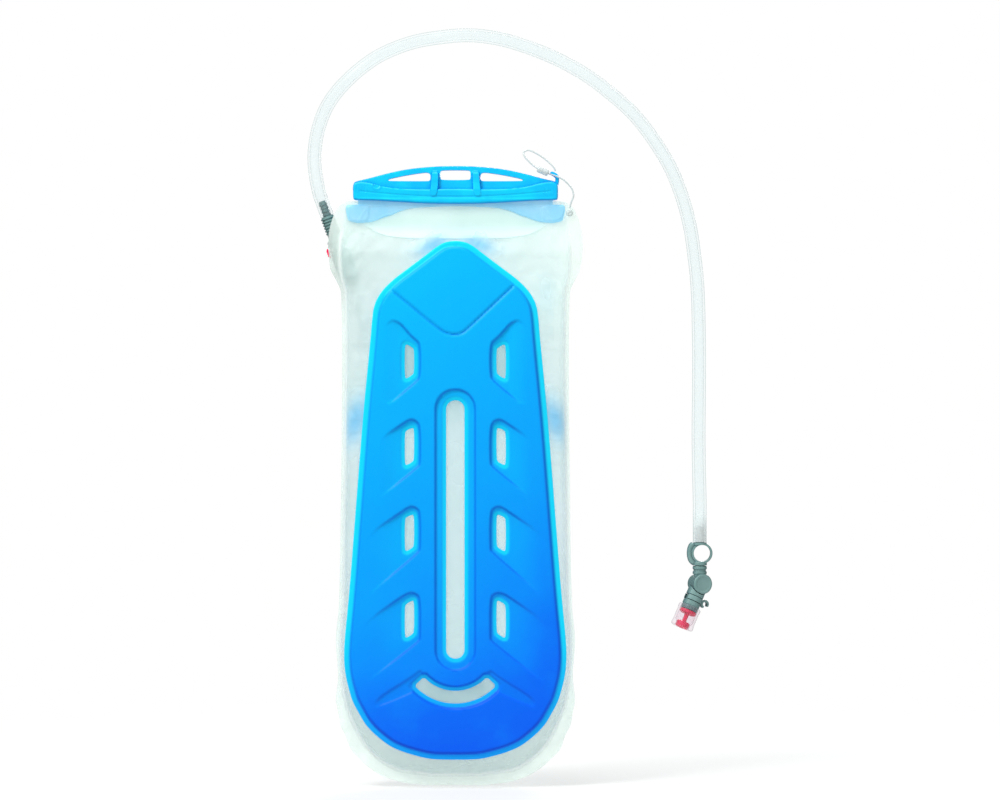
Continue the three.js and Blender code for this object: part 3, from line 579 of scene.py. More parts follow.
FLANGE = symmetric([[0.0, 0.1]] + edge_rows(flange_half, [
    [0, 0.5, 1, 1.5, 2, 3, 4, 5.5, 7], np.arange(9, 402, 2.0), [402.6, 403.1, 406, 409]]))
WELD = symmetric([[7.3, 0.1], [7.3, 8.0]] + edge_rows(body_half, [
    [7.3, 7.6, 8, 8.5, 9, 9.8, 10.6, 12, 13.8, 16, 18.5, 21, 23, 26, 29, 33],
    np.arange(37, 402, 3.0), [402.6, 403.1, 406, 409]]))


# ---------------------------------------------------------------- shader graph kit
def srgb(code):
    channels = [int(code[i:i + 2], 16) / 255 for i in (1, 3, 5)]
    return tuple(c / 12.92 if c <= 0.04045 else ((c + 0.055) / 1.055) ** 2.4
                 for c in channels) + (1.0,)


def math_operator(operation, swapped=False):
    def apply(self, other):
        pair = (other, self) if swapped else (self, other)
        return self.graph.math(operation, *pair)
    return apply


class Signal:
    """Output socket; arithmetic on it adds Math nodes."""

    def __init__(self, graph, socket):
        self.graph = graph
        self.socket = socket

    __add__ = math_operator("ADD")
    __radd__ = math_operator("ADD", swapped=True)
    __sub__ = math_operator("SUBTRACT")
    __rsub__ = math_operator("SUBTRACT", swapped=True)
    __mul__ = math_operator("MULTIPLY")
    __truediv__ = math_operator("DIVIDE")
    __pow__ = math_operator("POWER")
    __rpow__ = math_operator("POWER", swapped=True)

    def __abs__(self):
        return self.graph.math("ABSOLUTE", self)


class Graph:
    """Node tree of a new material; colours may be given as #rrggbb."""

    def __init__(self, name):
        self.material = bpy.data.materials.new(name)
        self.material.use_nodes = True
        self.tree = self.material.node_tree
        self.tree.nodes.clear()
        self.surface = self.tree.nodes.new("ShaderNodeOutputMaterial").inputs["Surface"]
        self.coords = self.node("TexCoord", output="Object")

    def put(self, socket, value):
        if isinstance(value, Signal):
            self.tree.links.new(value.socket, socket)
        else:
            socket.default_value = srgb(value) if isinstance(value, str) else value

    def node(self, kind, inputs=None, output=0, **settings):
        node = self.tree.nodes.new("ShaderNode" + kind)
        for key, value in settings.items():
            setattr(node, key, value)
        for key, value in (inputs or {}).items():
            self.put(node.inputs[key], value)
        return Signal(self, node.outputs[output])

    def math(self, operation, a, b=0.0, clamp=False):
        return self.node("Math", {0: a, 1: b}, operation=operation, use_clamp=clamp)

    def add_clamped(self, a, b):
        return self.math("ADD", a, b, clamp=True)

    def step(self, value, start, end, low=0.0, high=1.0):
        """Eases from low at start to high at end."""
        ends = {"Value": value, "From Min": start, "From Max": end,
                "To Min": low, "To Max": high}
        return self.node("MapRange", ends, "Result", interpolation_type="SMOOTHSTEP")

    def noise(self, scale, detail=3, rough=0.5, vector=None):
        return self.node("TexNoise", {"Vector": vector or self.coords, "Scale": scale,
                                      "Detail": detail, "Roughness": rough}, "Fac")

    def stretched(self, scale):
        return self.node("Mapping", {"Vector": self.coords, "Scale": scale})

    def mix(self, factor, a, b):
        return self.node("Mix", {0: factor, 6: a, 7: b}, 2, data_type="RGBA")

    def ramp(self, value, stops):
        signal = self.node("ValToRGB", {0: value}, "Color")
        elements = signal.socket.node.color_ramp.elements
        while len(elements) < len(stops):
            elements.new(0.5)
        for element, (position, colour) in zip(elements, stops):
            element.position = position
            element.color = srgb(colour)
        return signal

    def bump(self, height, strength, depth, normal=None):
        """Depth is in millimetres."""
        inputs = {"Height": height, "Strength": strength, "Distance": depth * MM}
        if normal is not None:
            inputs["Normal"] = normal
        return self.node("Bump", inputs, "Normal")

    def xyz(self, vector=None):
        first = self.node("SeparateXYZ", {0: vector or self.coords})
        return [Signal(self, socket) for socket in first.socket.node.outputs]

    def attribute(self, name):
        return self.node("Attribute", output="Fac", attribute_name=name)

    def facing(self, blend):
        return self.node("LayerWeight", {"Blend": blend}, "Facing")

    def blend(self, factor, a, b):
        return self.node("MixShader", {0: factor, 1: a, 2: b})

    def glow(self, shader, colour, strength):
        """Adds a little emission to a shader."""
        light = self.node("Emission", {"Color": colour, "Strength": strength})
        return self.node("AddShader", {0: shader, 1: light})

    def finish(self, shader):
        self.put(self.surface, shader)
        return self.material


# ---------------------------------------------------------------- materials
def plastic(name, colour, dark, rough, grain, grain_strength, scatter=0.0, specular=0.3,
            wall=None):
    """Moulded plastic: fine grain, faint flow marks and uneven gloss.

    wall is (colour, strength) of painted shade on side walls and in corners; on translucent
    plastic the side walls' deeper tone is partly also its own colour, seen through more of it.
    """
    graph = Graph(name)
    fine = graph.noise(scale=grain, detail=2)
    flow = graph.noise(scale=60, detail=4, rough=0.6)
    tone = graph.mix(graph.step(flow, 0.35, 0.7), dark, colour)
    if wall:
        deep, strength = wall
        # painted shade: side walls turned away from the front get the deeper tone
        side = abs(graph.xyz(graph.node("NewGeometry", output="Normal"))[1])
        tone = graph.mix(graph.step(side, 0.35, 0.92, low=strength, high=0.0), tone, deep)
        # painted shade in corners and crevices, found by ambient occlusion
        open_air = graph.node("AmbientOcclusion", {"Distance": 0.004}, "AO", samples=6)
        tone = graph.mix(graph.step(open_air, 0.35, 0.95, low=strength * 0.7, high=0.0),
                         tone, deep)
    flow_marks = graph.bump(flow, strength=0.15, depth=0.25)
    inputs = {"Base Color": tone,
              "Roughness": graph.noise(scale=220) * 0.12 + (rough - 0.06),
              "Normal": graph.bump(fine, grain_strength, depth=0.03, normal=flow_marks),
              "Coat Roughness": 0.15,
              "Specular IOR Level": specular}
    if scatter:
        inputs.update({"Subsurface Weight": scatter, "Subsurface Scale": 0.5,
                       "Subsurface Radius": (0.003, 0.004, 0.005)})
    return graph.finish(graph.node("BsdfPrincipled", inputs))


# Blurred spots painted on the front film: the cyan ones are painted blue light cast by the
# backer plate, the grey ones painted shade. In metres:
# centre x, centre z, radius x, radius z, on both sides, lean, strength
PAINTED_BLUE_LIGHT_SPOTS = [
    (0.072, 0.250, 0.014, 0.017, True, 0.6, 0.95),
    (0.015, 0.3725, 0.014, 0.0075, True, 0.3, 0.7),
    (0.063, 0.338, 0.010, 0.018, False, 0.0, 0.2)]
# painted shade on the film's left shoulder, along its left side and low on its right
PAINTED_SHADE_SPOTS = [
    (-0.080, 0.365, 0.018, 0.034, False, 0.0, 0.6),
    (-0.083, 0.17, 0.012, 0.10, False, 0.0, 0.4),
    (0.080, 0.10, 0.010, 0.10, False, 0.0, 0.2)]


def painted_light_and_shade_mask(graph, rows, x, z, wobble):
    """Sum of bell-shaped spots."""
    total = None
    for centre_x, centre_z, radius_x, radius_z, both_sides, lean, strength in rows:
        across = abs_once(graph, x) if both_sides else x
        offset_x = (across - centre_x) / radius_x
        offset_z = (z + wobble + (across - centre_x) * lean - centre_z) / radius_z
        square = offset_x * offset_x + offset_z * offset_z
        spot = 2.718 ** (square * -1.0) * strength
        total = spot if total is None else total + spot
    return total


def abs_once(graph, x):
    """|x|, with a single node for each graph."""
    if not hasattr(graph, "across"):
        graph.across = abs(x)
    return graph.across


def film_material(name, dim, bright, low_tint, clear_tint, cover, lift, painted_shade_tint=None):
    """Milky film: part of the light passes straight and part scatters.

    It is denser at grazing angles and clearer in the weld flange. cover is the milkiness
    seen face on; lift is a faint emission, painted light that brightens the film. The front
    film's tint argument is the colour of its painted shade, and it turns on the painted shade,
    the painted blue light cast by the backer and the painted shadow inside the backer's slots.
    """
    graph = Graph(name)
    x, _, z = graph.xyz()
    step = graph.step
    cloud = graph.noise(scale=14, rough=0.55)
    fine = graph.noise(scale=1900, detail=2)
    streak = graph.noise(scale=1.0, detail=4, rough=0.6, vector=graph.stretched((90, 60, 9)))
    flange = graph.attribute("flange")
    line = graph.attribute("weld")
    tone = graph.mix(step(cloud, 0.3, 0.75), dim, bright)
    low = step(z, 0.02, 0.09, 1, 0)
    if painted_shade_tint:
        near = graph.attribute("near")
        wobble = (cloud - 0.5) * 0.012
        inner = 1.0 - graph.math("MAXIMUM", flange, near * 0.6)
        # painted blue light cast by the backer plate, and painted shade, kept off the flange
        painted_blue_light = painted_light_and_shade_mask(graph, PAINTED_BLUE_LIGHT_SPOTS, x, z, wobble) * inner
        shade = painted_light_and_shade_mask(graph, PAINTED_SHADE_SPOTS, x, z, wobble) * inner
        tone = graph.mix(shade, tone, painted_shade_tint)
        tone = graph.mix(painted_blue_light, tone, "#3cc4f4")
        # painted shadow: the backer keeps the light off the film inside its slots, so the film there
        # is darkened, more towards the top and bottom
        columns = step(abs_once(graph, x), 0.038, 0.044, 1, 0)
        under = columns * (step(z, 0.040, 0.048) * step(z, 0.308, 0.316, 1, 0))
        deep = 0.3 + (step(z, 0.235, 0.275, 0, 0.45) + step(z, 0.066, 0.090, 0.45, 0))
        under = under * deep
        tone = graph.mix(under, tone, "#98c4cc")
    tone = graph.mix(low * 0.9, tone, low_tint)
    tone = graph.mix(graph.math("MAXIMUM", flange * 0.85, line), tone, "#f7f9f7")
    folds = graph.bump(streak, strength=0.2, depth=0.3)
    normal = graph.bump(fine, strength=0.05, depth=0.015, normal=folds)
    body = graph.node("BsdfPrincipled", {
        "Base Color": tone, "Roughness": graph.noise(scale=40) * 0.2 + 0.26,
        "Normal": normal, "Specular IOR Level": 0.42})
    through = graph.node("BsdfTranslucent", {"Color": tone, "Normal": normal})
    # painted light: a faint emission brightens the film
    milky = graph.glow(graph.blend(0.5, body, through), tone, strength=lift)
    clear = graph.node("BsdfTransparent", {"Color": graph.mix(flange, clear_tint, "#f9fcfb")})
    # how much of the surface is milky
    amount = graph.facing(0.35) ** 2.5 * 0.4 + cover
    amount = amount + step(cloud, 0.3, 0.7) * 0.06
    amount = graph.add_clamped(amount, low * 0.1)
    if painted_shade_tint:
        # milkier where light, shade and shadow are painted, so that their colour shows
        more = graph.add_clamped(painted_blue_light * 0.8 + shade * 0.3, under * 0.4)
        amount = amount + more * (1.0 - amount)
    amount = amount * (1.0 - flange * 0.3)
    amount = graph.add_clamped(amount, line * 0.35)
    return graph.finish(graph.blend(amount, clear, milky))


def steel_material():
    graph = Graph("steel")
    draw = graph.noise(scale=1.0, vector=graph.stretched((300, 300, 2500)))
    return graph.finish(graph.node("BsdfPrincipled", {
        "Base Color": graph.mix(draw, "#a9adb1", "#c6cacd"), "Metallic": 1.0,
        "Roughness": draw * 0.15 + 0.22,
        "Normal": graph.bump(draw, strength=0.2, depth=0.02)}))


def plate_material():
    """Cyan at the top running to deep blue, partly the plastic's hue and partly painted light,
    bright thin rims, painted shade on the walls and a leather-like grain.
    """
    graph = Graph("backer")
    x, _, z = graph.xyz()
    rim = graph.attribute("rim")
    sunk = graph.attribute("sunk")
    bottom, top = PLATE_ROWS[0][0], PLATE_ROWS[-1][0]
    # height from 0 to 1: the fall from cyan to deep blue is partly the plastic's own hue and
    # partly painted light, brighter at the top; the shift with x is painted shade that makes the
    # right side deeper
    painted_right_shade = graph.step(z, 0.05, 0.12, low=-0.6, high=-1.9)
    height = (z - bottom * MM) / ((top - bottom) * MM) + x * painted_right_shade
    tone = graph.ramp(height, [
        (0.0, "#005aea"), (0.10, "#0066ec"), (0.22, "#0084f2"), (0.42, "#0098f3"),
        (0.7, "#00a8f4"), (1.0, "#00b6f4")])
    flow = graph.noise(scale=26, detail=4, rough=0.6)
    tone = graph.mix(graph.step(flow, 0.4, 0.75) * 0.12, tone, "#06b2ff")
    wall = graph.attribute("wall")
    sunk_tone = graph.mix(graph.step(z, 0.02, 0.2), "#0098f8", "#06c4f8")
    tone = graph.mix(sunk * 0.28, tone, sunk_tone)
    # painted shade: walls, and the outer step low down and to the right, darkened towards deep blue;
    # on the walls partly also the plastic's own deeper colour
    tone = graph.mix(graph.math("MULTIPLY", wall, 0.58, clamp=True), tone, "#0044cc")
    rim_tone = graph.mix(graph.step(z, 0.02, 0.12), "#0a9cf8", "#10d4f6")
    tone = graph.mix(rim * (1.0 - wall * 0.4), tone, rim_tone)
    leather = graph.node("TexVoronoi", {"Vector": graph.coords, "Scale": 1500.0}, "Distance",
                         feature="SMOOTH_F1")
    flow_marks = graph.bump(flow, strength=0.2, depth=0.35)
    return graph.finish(graph.node("BsdfPrincipled", {
        "Base Color": tone,
        "Roughness": graph.noise(scale=120) * 0.16 + (0.34 - rim * 0.08),
        "Normal": graph.bump(leather, strength=0.25, depth=0.035, normal=flow_marks),
        "Specular IOR Level": 0.11, "Subsurface Weight": 0.05,
        "Subsurface Radius": (0.001, 0.003, 0.006), "Subsurface Scale": 0.6}))


def clear_material(name, tint, edge, cover, rim, rough, through="#fbfefe", hose=False,
                   lift=0.0):
    """Clear moulding or tube, milkier where the wall is seen edge on.

    cover and rim are the milkiness face on and at the edge; lift is a faint emission, painted
    light that brightens the part.
    """
    graph = Graph(name)
    facing = graph.facing(0.5)
    cloud = graph.noise(scale=45, rough=0.6)
    fine = graph.noise(scale=900, detail=2)
    tone = graph.mix(graph.step(facing, 0.35, 0.95), tint, edge)
    tone = graph.mix(graph.step(cloud, 0.4, 0.7) * 0.25, tone, "#ffffff")
    waves = graph.bump(cloud, strength=0.1, depth=0.15)
    body = graph.node("BsdfPrincipled", {
        "Base Color": tone, "Roughness": cloud * 0.12 + rough,
        "Normal": graph.bump(fine, strength=0.04, depth=0.012, normal=waves),
        "Specular IOR Level": 0.6})
    milky = graph.blend(0.35, body, graph.node("BsdfTranslucent", {"Color": tone}))
    # painted light: a faint emission brightens the milky part
    if lift:
        milky = graph.glow(milky, tone, strength=lift)
    if hose:
        through = graph.mix(graph.step(facing, 0.45, 0.97), through, "#d9e3e2")
    clear = graph.node("BsdfTransparent", {"Color": through})
    amount = facing ** 2.5 * rim + cover
    amount = graph.add_clamped(amount, graph.step(cloud, 0.35, 0.7) * 0.04)
    if hose:
        # milky where it is stretched over the valve's barb
        z = graph.xyz()[2]
        x = graph.xyz()[0]
        barb = graph.step(x, 0.14, 0.15) * graph.step(z, 0.174, 0.194, low=0.7, high=0.0)
        amount = graph.math("MAXIMUM", amount, barb)
    return graph.finish(graph.blend(amount, clear, milky))


MATERIALS = {
    # lift gives the films and the rails a faint emission, painted light
    "bladder_film": film_material(
        "film", dim="#ecf6f3", bright="#f6fbfa", low_tint="#dfeae5", clear_tint="#fbfcfc",
        cover=0.16, lift=0.05, painted_shade_tint="#adc8c8"),
    "collar_film": film_material(
        "collar", dim="#eefaf8", bright="#f8fefd", low_tint="#eefaf8", clear_tint="#fbfefe",
        cover=0.42, lift=0.05),
    # wall gives each plastic the colour and strength of its painted shade
    "slider_plastic": plastic(
        "slider", colour="#04caf4", dark="#02baf0", rough=0.36, grain=1100,
        grain_strength=0.15, scatter=0.05, specular=0.2, wall=("#0084e0", 0.75)),
    "grey_plastic": plastic(
        "grey", colour="#7b9c99", dark="#6c8e8b", rough=0.42, grain=1400,
        grain_strength=0.3, specular=0.35, wall=("#3c5a5c", 0.8)),
    "red_plastic": plastic(
        "red", colour="#fa1c62", dark="#ee1450", rough=0.34, grain=1400,
        grain_strength=0.2, scatter=0.1, specular=0.25, wall=("#b40a3c", 0.4)),
    "seal_rubber": plastic(
        "rubber", colour="#26292c", dark="#1c1f21", rough=0.7, grain=1600,
        grain_strength=0.4),
    "spring_steel": steel_material(),
    "backer_plastic": plate_material(),
    "hose_clear": clear_material(
        "hose", tint="#f1f6f6", edge="#d2dcdb", cover=0.06, rim=0.12, rough=0.16,
        through="#fbfdfd", hose=True),
    "tether_clear": clear_material(
        "cord", tint="#dce4e3", edge="#aab8b6", cover=0.8, rim=0.2, rough=0.12),
    "sheath_silicone": clear_material(
        "silicone", tint="#eff0f1", edge="#a5a2a8", cover=0.05, rim=0.5, rough=0.2,
        through="#fbf8fa"),
    "rail_plastic": clear_material(
        "rail", tint="#c0ebfa", edge="#92daf6", cover=0.5, rim=0.25, rough=0.24,
        through="#d0f1fd", lift=0.14),
    "port_plastic": clear_material(
        "port", tint="#eef8f8", edge="#cfe2e2", cover=0.30, rim=0.35, rough=0.2),
}
BACK_FILM = film_material(
    "film_back", dim="#e8f4f0", bright="#f2f9f7", low_tint="#e5eee9", clear_tint="#fafdfc",
    cover=0.56, lift=0.075)

for row in frame["record"]["subparts"]:
    slots = frame["nodes"][row["node"]].data.materials
    slots.clear()
    slots.append(MATERIALS[row["material_slot"]])

# ---------------------------------------------------------------- bladder films
BEAD_INSET = 1.1                        # thin bead line inside the flange's cut edge


def film_plan():
    step = by_quality(2.7)
    grid = hex_grid((-90, 1), (90, 408), step)
    grid = grid[(inset(grid, FLANGE) > step * 0.55)
                & (np.abs(inset(grid, WELD)) > step * 0.5)]
    cut_edge = resample(FLANGE, step * 0.8)
    tangent = np.roll(cut_edge, -1, 0) - np.roll(cut_edge, 1, 0)
    inward = np.stack([-tangent[:, 1], tangent[:, 0]], 1)
    inward /= np.linalg.norm(tangent, axis=1)[:, None]
    loops = [cut_edge, resample(WELD, step * 0.8), cut_edge + inward * BEAD_INSET]
    return triangulate(loops, grid, lambda points: inset(points, FLANGE) > 0)


def film_bulge(plan, side, from_weld):
    """Height of the film's outer face over the weld plane at rest."""
    x, z = plan.T
    if side < 0:
        to_plate = np.maximum(-inset(plan, PLATE) + 1.5, 0)
        t = from_weld / np.maximum(from_weld + to_plate, 1e-6)
        return front_depth(z) * (1 - (1 - t) ** 2.1) ** 0.62
    across = np.clip(np.abs(x) / body_half(z), 0, 1)
    return np.where(from_weld > 0, back_depth(z) * (1 - across * across) ** 0.8, 0)


def flange_wave(plan):
    """Ripple of the loose weld flange out of its plane."""
    outside = np.maximum(-inset(plan, WELD), 0)
    amount = smoothstep(0.5, 8, outside) * smoothstep(384, 350, plan[:, 1])
    ripple = np.array([noise.noise(Vector((x * 0.075, z * 0.075, 3.1)))
                       + 0.6 * noise.noise(Vector((x * 0.19, z * 0.19, 9.7)))
                       for x, z in plan])
    low = 1 + 0.6 * smoothstep(90, 20, plan[:, 1])
    return 2.1 * amount * low * ripple


def inflate(points, faces, pinned):
    """Blows the films up as cloth and returns the moved points."""
    thing = make_object("film_sim", points, faces)
    group = thing.vertex_groups.new(name="pin")
    group.add([int(i) for i in np.nonzero(pinned)[0]], 1.0, "REPLACE")
    cloth = thing.modifiers.new("cloth", "CLOTH")
    settings = cloth.settings
    settings.quality = 6
    settings.mass = 0.25
    settings.air_damping = 2.0
    settings.tension_stiffness = settings.compression_stiffness = 22
    settings.shear_stiffness = 14
    settings.bending_stiffness = 0.9
    settings.bending_model = "ANGULAR"
    settings.tension_damping = settings.compression_damping = settings.shear_damping = 6
    settings.vertex_group_mass = "pin"
    settings.shrink_min = settings.shrink_max = -0.028
    settings.use_pressure = True
    settings.uniform_pressure_force = 1.6
    settings.effector_weights.gravity = 0
    cloth.collision_settings.use_collision = False
    cloth.collision_settings.use_self_collision = False
    scene = bpy.context.scene
    for k in range(1, 25):
        scene.frame_set(k)
    result = thing.evaluated_get(bpy.context.evaluated_depsgraph_get())
    moved = mesh_points(result.data)
    drop(thing)
    scene.frame_set(1)
    return moved


def mesh_points(mesh):
    """Vertex places in millimetres."""
    flat = np.zeros(len(mesh.vertices) * 3)
    mesh.vertices.foreach_get("co", flat)
    return flat.reshape(-1, 3) / MM


def settle(points, faces, plan, from_weld):
    """Inflates both films, within limits that keep them clear of their neighbours."""
    longest_move = 5.5
    back_limit = 2.2                    # keeps the back film clear of the lower hose
    count = len(plan)
    mouth = plan[:, 1] > MOUTH_Z - 3
    under_plate = inset(plan, PLATE) > -1.0
    port = np.hypot(plan[:, 0], plan[:, 1] - PORT_Z) < 21.5
    welded = from_weld < 0.6
    pinned = np.concatenate([welded | under_plate | mouth, welded | port | mouth])
    moves = inflate(points, faces, pinned) - points
    lengths = np.linalg.norm(moves, axis=1)
    moves *= (np.minimum(lengths, longest_move) / np.maximum(lengths, 1e-9))[:, None]
    moves[pinned] = 0
    moves[count:, 1] = np.minimum(moves[count:, 1], back_limit)
    points = points + moves
    # the front film stays behind the backer's rim
    near = smoothstep(0, 14, -inset(points[:count][:, [0, 2]], PLATE))
    points[:count, 1] = np.maximum(points[:count, 1], -(9.9 + 3.2 * near))
    return points


def face_outwards(thing, side):
    edit = bmesh.new()
    edit.from_mesh(thing.data)
    edit.normal_update()
    mean = sum((f.normal * f.calc_area() for f in edit.faces), Vector())
    if mean.y * side < 0:
        bmesh.ops.reverse_faces(edit, faces=edit.faces)
    edit.to_mesh(thing.data)
    edit.free()


def finish_film(name, side, points, tris, bead):
    points = points.copy()
    points[:, 1] += side * bead
    if side > 0:
        # water hole under the port
        tris = tris[:, ::-1]
        centres = points[tris].mean(1)
        tris = tris[np.hypot(centres[:, 0], centres[:, 2] - PORT_Z) > 3.4]
    thing = make_object(name, *compact(points, tris), 60)
    face_outwards(thing, side)
    finer = thing.modifiers.new("sub", "SUBSURF")
    finer.levels = finer.render_levels = 1
    finer.boundary_smooth = "PRESERVE_CORNERS"
    wall = thing.modifiers.new("sol", "SOLIDIFY")
    wall.thickness = 0.55 * MM
    wall.offset = -1
    wall.use_rim = True
    bake(thing, 70)
    plan = mesh_points(thing.data)[:, [0, 2]]
    from_weld = inset(plan, WELD)
    add_attribute(thing.data, "flange", smoothstep(0.6, -1.8, from_weld))
    add_attribute(thing.data, "weld", bell(from_weld, 1.1) * smoothstep(388, 378, plan[:, 1]))
    add_attribute(thing.data, "near", np.exp(-np.maximum(from_weld, 0) / 7))
    place(thing, "bladder", "bladder_film", name + "_film",
          material=BACK_FILM if side > 0 else None)


def build_films():
    plan, tris = film_plan()
    x, z = plan.T
    count = len(plan)
    wave = flange_wave(plan)
    from_weld = np.maximum(inset(plan, WELD), 0)
    points = np.vstack([
        np.stack([x, side * (FILM_FACE + film_bulge(plan, side, from_weld)) + wave, z], 1)
        for side in (-1, 1)])
    faces = [tuple(f) for f in tris] + [tuple(f[::-1] + count) for f in tris]
    points = settle(points, faces, plan, from_weld)
    bead = 0.28 * bell(inset(plan, FLANGE) - BEAD_INSET, 0.6) * (z < 384)
    finish_film("bladder_front", -1, points[:count], tris, bead)
    finish_film("bladder_back", 1, points[count:], tris, bead)


build_films()

# ---------------------------------------------------------------- backer plate
# Side slots: inner top, inner bottom, outer top and outer bottom z
SIDE_SLOTS = [(301.7, 283.2, 303.8, 280.0), (247.0, 223.4, 244.4, 220.5),
              (187.5, 164.4, 184.8, 161.4), (128.5, 105.0, 125.2, 101.9)]
# Sunken channels outwards from the slots: (x, z) outline, then the |x| where they fade out
CHANNELS = [
    ([(23.8, 281.5), (23.8, 304.0), (27.3, 307.4), (31, 310.6), (38.3, 319.5), (46, 321),
      (56, 303), (54, 268), (46.6, 261.5), (36, 270.2), (26.5, 278.2)], 35, 50),
    ([(23.8, 222.5), (23.8, 247.5), (26.6, 251.6), (31, 252.9), (37.6, 248.5), (51.5, 239.3),
      (57, 225), (52, 198.4), (50, 200.0), (25, 219.7)], 36, 53),
    ([(23.8, 163.5), (23.8, 188.5), (26.6, 192), (31, 193.1), (38, 188.2), (59.8, 173.7),
      (66, 155), (60, 131.2), (57.4, 133.4), (24.8, 161.1)], 37, 62),
    ([(23.8, 102.8), (23.8, 129.6), (26.6, 132.8), (31, 133.9), (37.5, 130.5), (62.8, 112.5),
      (70, 95), (61, 71.5), (58, 74), (24.3, 100)], 37, 65)]
LOWER_CHANNEL = [(22.8, 81.6), (29, 76.2), (54.7, 60.5), (56, 54), (40, 60), (27, 66), (22, 72)]
# V-shaped edge of the top panel
TOP_VEE = [(-60, 353), (-42, 339.3), (-10.6, 313.3), (-5, 310.7), (0, 310.1), (4.6, 311),
           (8.6, 314.1), (36.2, 340.1), (50, 353), (60, 400), (-60, 400)]
CHANNEL_DEPTH = 1.9
SMILE_Z = 95.2                          # centre of the smile-shaped slot's arcs


def plate_holes():
    holes = [capsule(87.9, 265.5, 6.3)]
    for in_top, in_bottom, out_top, out_bottom in SIDE_SLOTS:
        rises = in_top < out_top
        slot = soften([
            (28.3, in_bottom + 1.4), (29.5, in_bottom - 0.2), (33.5, out_bottom + 0.3),
            (34.7, out_bottom + 1.2), (34.7, out_top - 1.4),
            (33.5, out_top + (0.3 if rises else 0.5)),
            (29.5, in_top - (0.0 if rises else 0.5)), (28.3, in_top - 1.2)])
        holes += [slot, slot * np.array([-1, 1])]
    return holes + [arc_slot(29.3, 38.1, 47.5, SMILE_Z)]


def plate_sinking(plan):
    """Depth of the channels, moats and top panel below the plate's panel."""
    x, z = plan.T
    across = np.abs(x)
    folded = np.stack([across, z], 1)
    down = np.zeros(len(plan))
    for outline, fade_start, fade_end in CHANNELS:
        fade = 1 - smoothstep(fade_start, fade_end, across)
        wall = smoothstep(-0.5, 1.0, inset(folded, soften(outline)))
        down = np.maximum(down, CHANNEL_DEPTH * fade * wall)
    lower = smoothstep(-0.4, 0.9, inset(folded, soften(LOWER_CHANNEL)))
    lower_fade = smoothstep(58, 66, z + (across - 22) * 0.62 - 2) * smoothstep(57, 50, across)
    down = np.maximum(down, 1.2 * lower * lower_fade)
    # sunken moats round the centre slot and the smile slot
    for moat in (capsule(80.3, 273, 13.6), arc_slot(26.2, 41.7, 52.5, SMILE_Z, 0.12)):
        down = np.maximum(down, CHANNEL_DEPTH * smoothstep(-0.7, 0.7, inset(plan, moat)))
    # groove along the vee, and the top panel's slight step that dies out upwards
    from_vee = inset(plan, soften(TOP_VEE))
    groove = 1.0 * bell(from_vee - 0.3, 0.85) * (z < 345)
    panel_step = smoothstep(-0.6, 0.8, from_vee) * np.exp(-np.maximum(from_vee - 1, 0) / 14)
    return np.maximum(down, groove + 0.35 * panel_step)


def plate_slope(plan, tris, height):
    """Steepness of the front face at each point."""
    corners, heights = plan[tris], height[tris]
    e1, e2 = corners[:, 1] - corners[:, 0], corners[:, 2] - corners[:, 0]
    h1, h2 = heights[:, 1] - heights[:, 0], heights[:, 2] - heights[:, 0]
    area = e1[:, 0] * e2[:, 1] - e1[:, 1] * e2[:, 0]
    slope = np.hypot((h1 * e2[:, 1] - h2 * e1[:, 1]) / area,
                     (h2 * e1[:, 0] - h1 * e2[:, 0]) / area)
    total, count = np.zeros(len(plan)), np.zeros(len(plan))
    for k in range(3):
        np.add.at(total, tris[:, k], np.minimum(slope, 3))
        np.add.at(count, tris[:, k], 1)
    return total / np.maximum(count, 1)


def plate_mesh(plan, tris, front, holes):
    """Front face, a coarse flat back that shares its edge points, and the walls between."""
    rim_edges = boundary(tris)
    rim = sorted({i for edge in rim_edges for i in edge})
    grid = hex_grid((-76, 19), (76, 375), 9)
    grid = grid[(inset(grid, PLATE) > 4) & (inset_any(grid, holes) < -4)]
    place_in_rim = {i: k for k, i in enumerate(rim)}
    edges = [(place_in_rim[a], place_in_rim[b]) for a, b in rim_edges]
    points = [Vector(p) for p in np.vstack([plan[rim], grid]).tolist()]
    result = geometry.delaunay_2d_cdt(points, edges, [], 0, 1e-7, True)
    back = np.array([v[:] for v in result[0]])
    back_tris = np.array([f for f in result[2] if len(f) == 3])
    centres = back[back_tris].mean(1)
    back_tris = back_tris[(inset(centres, PLATE) > 0) & (inset_any(centres, holes) < 0)]
    renumber = {old: new for new, olds in enumerate(result[3]) for old in olds}
    count = len(plan)
    points = np.vstack([
        np.stack([plan[:, 0], front, plan[:, 1]], 1),
        np.stack([back[:, 0], np.full(len(back), PLATE_BACK), back[:, 1]], 1)])
    faces = [tuple(f) for f in tris] + [tuple(int(v) + count for v in f[::-1])
                                        for f in back_tris]
    for a, b in rim_edges:
        faces.append((b, a, count + renumber[place_in_rim[a]],
                      count + renumber[place_in_rim[b]]))
    return make_object("backer_plate_skin", points, faces, 50)


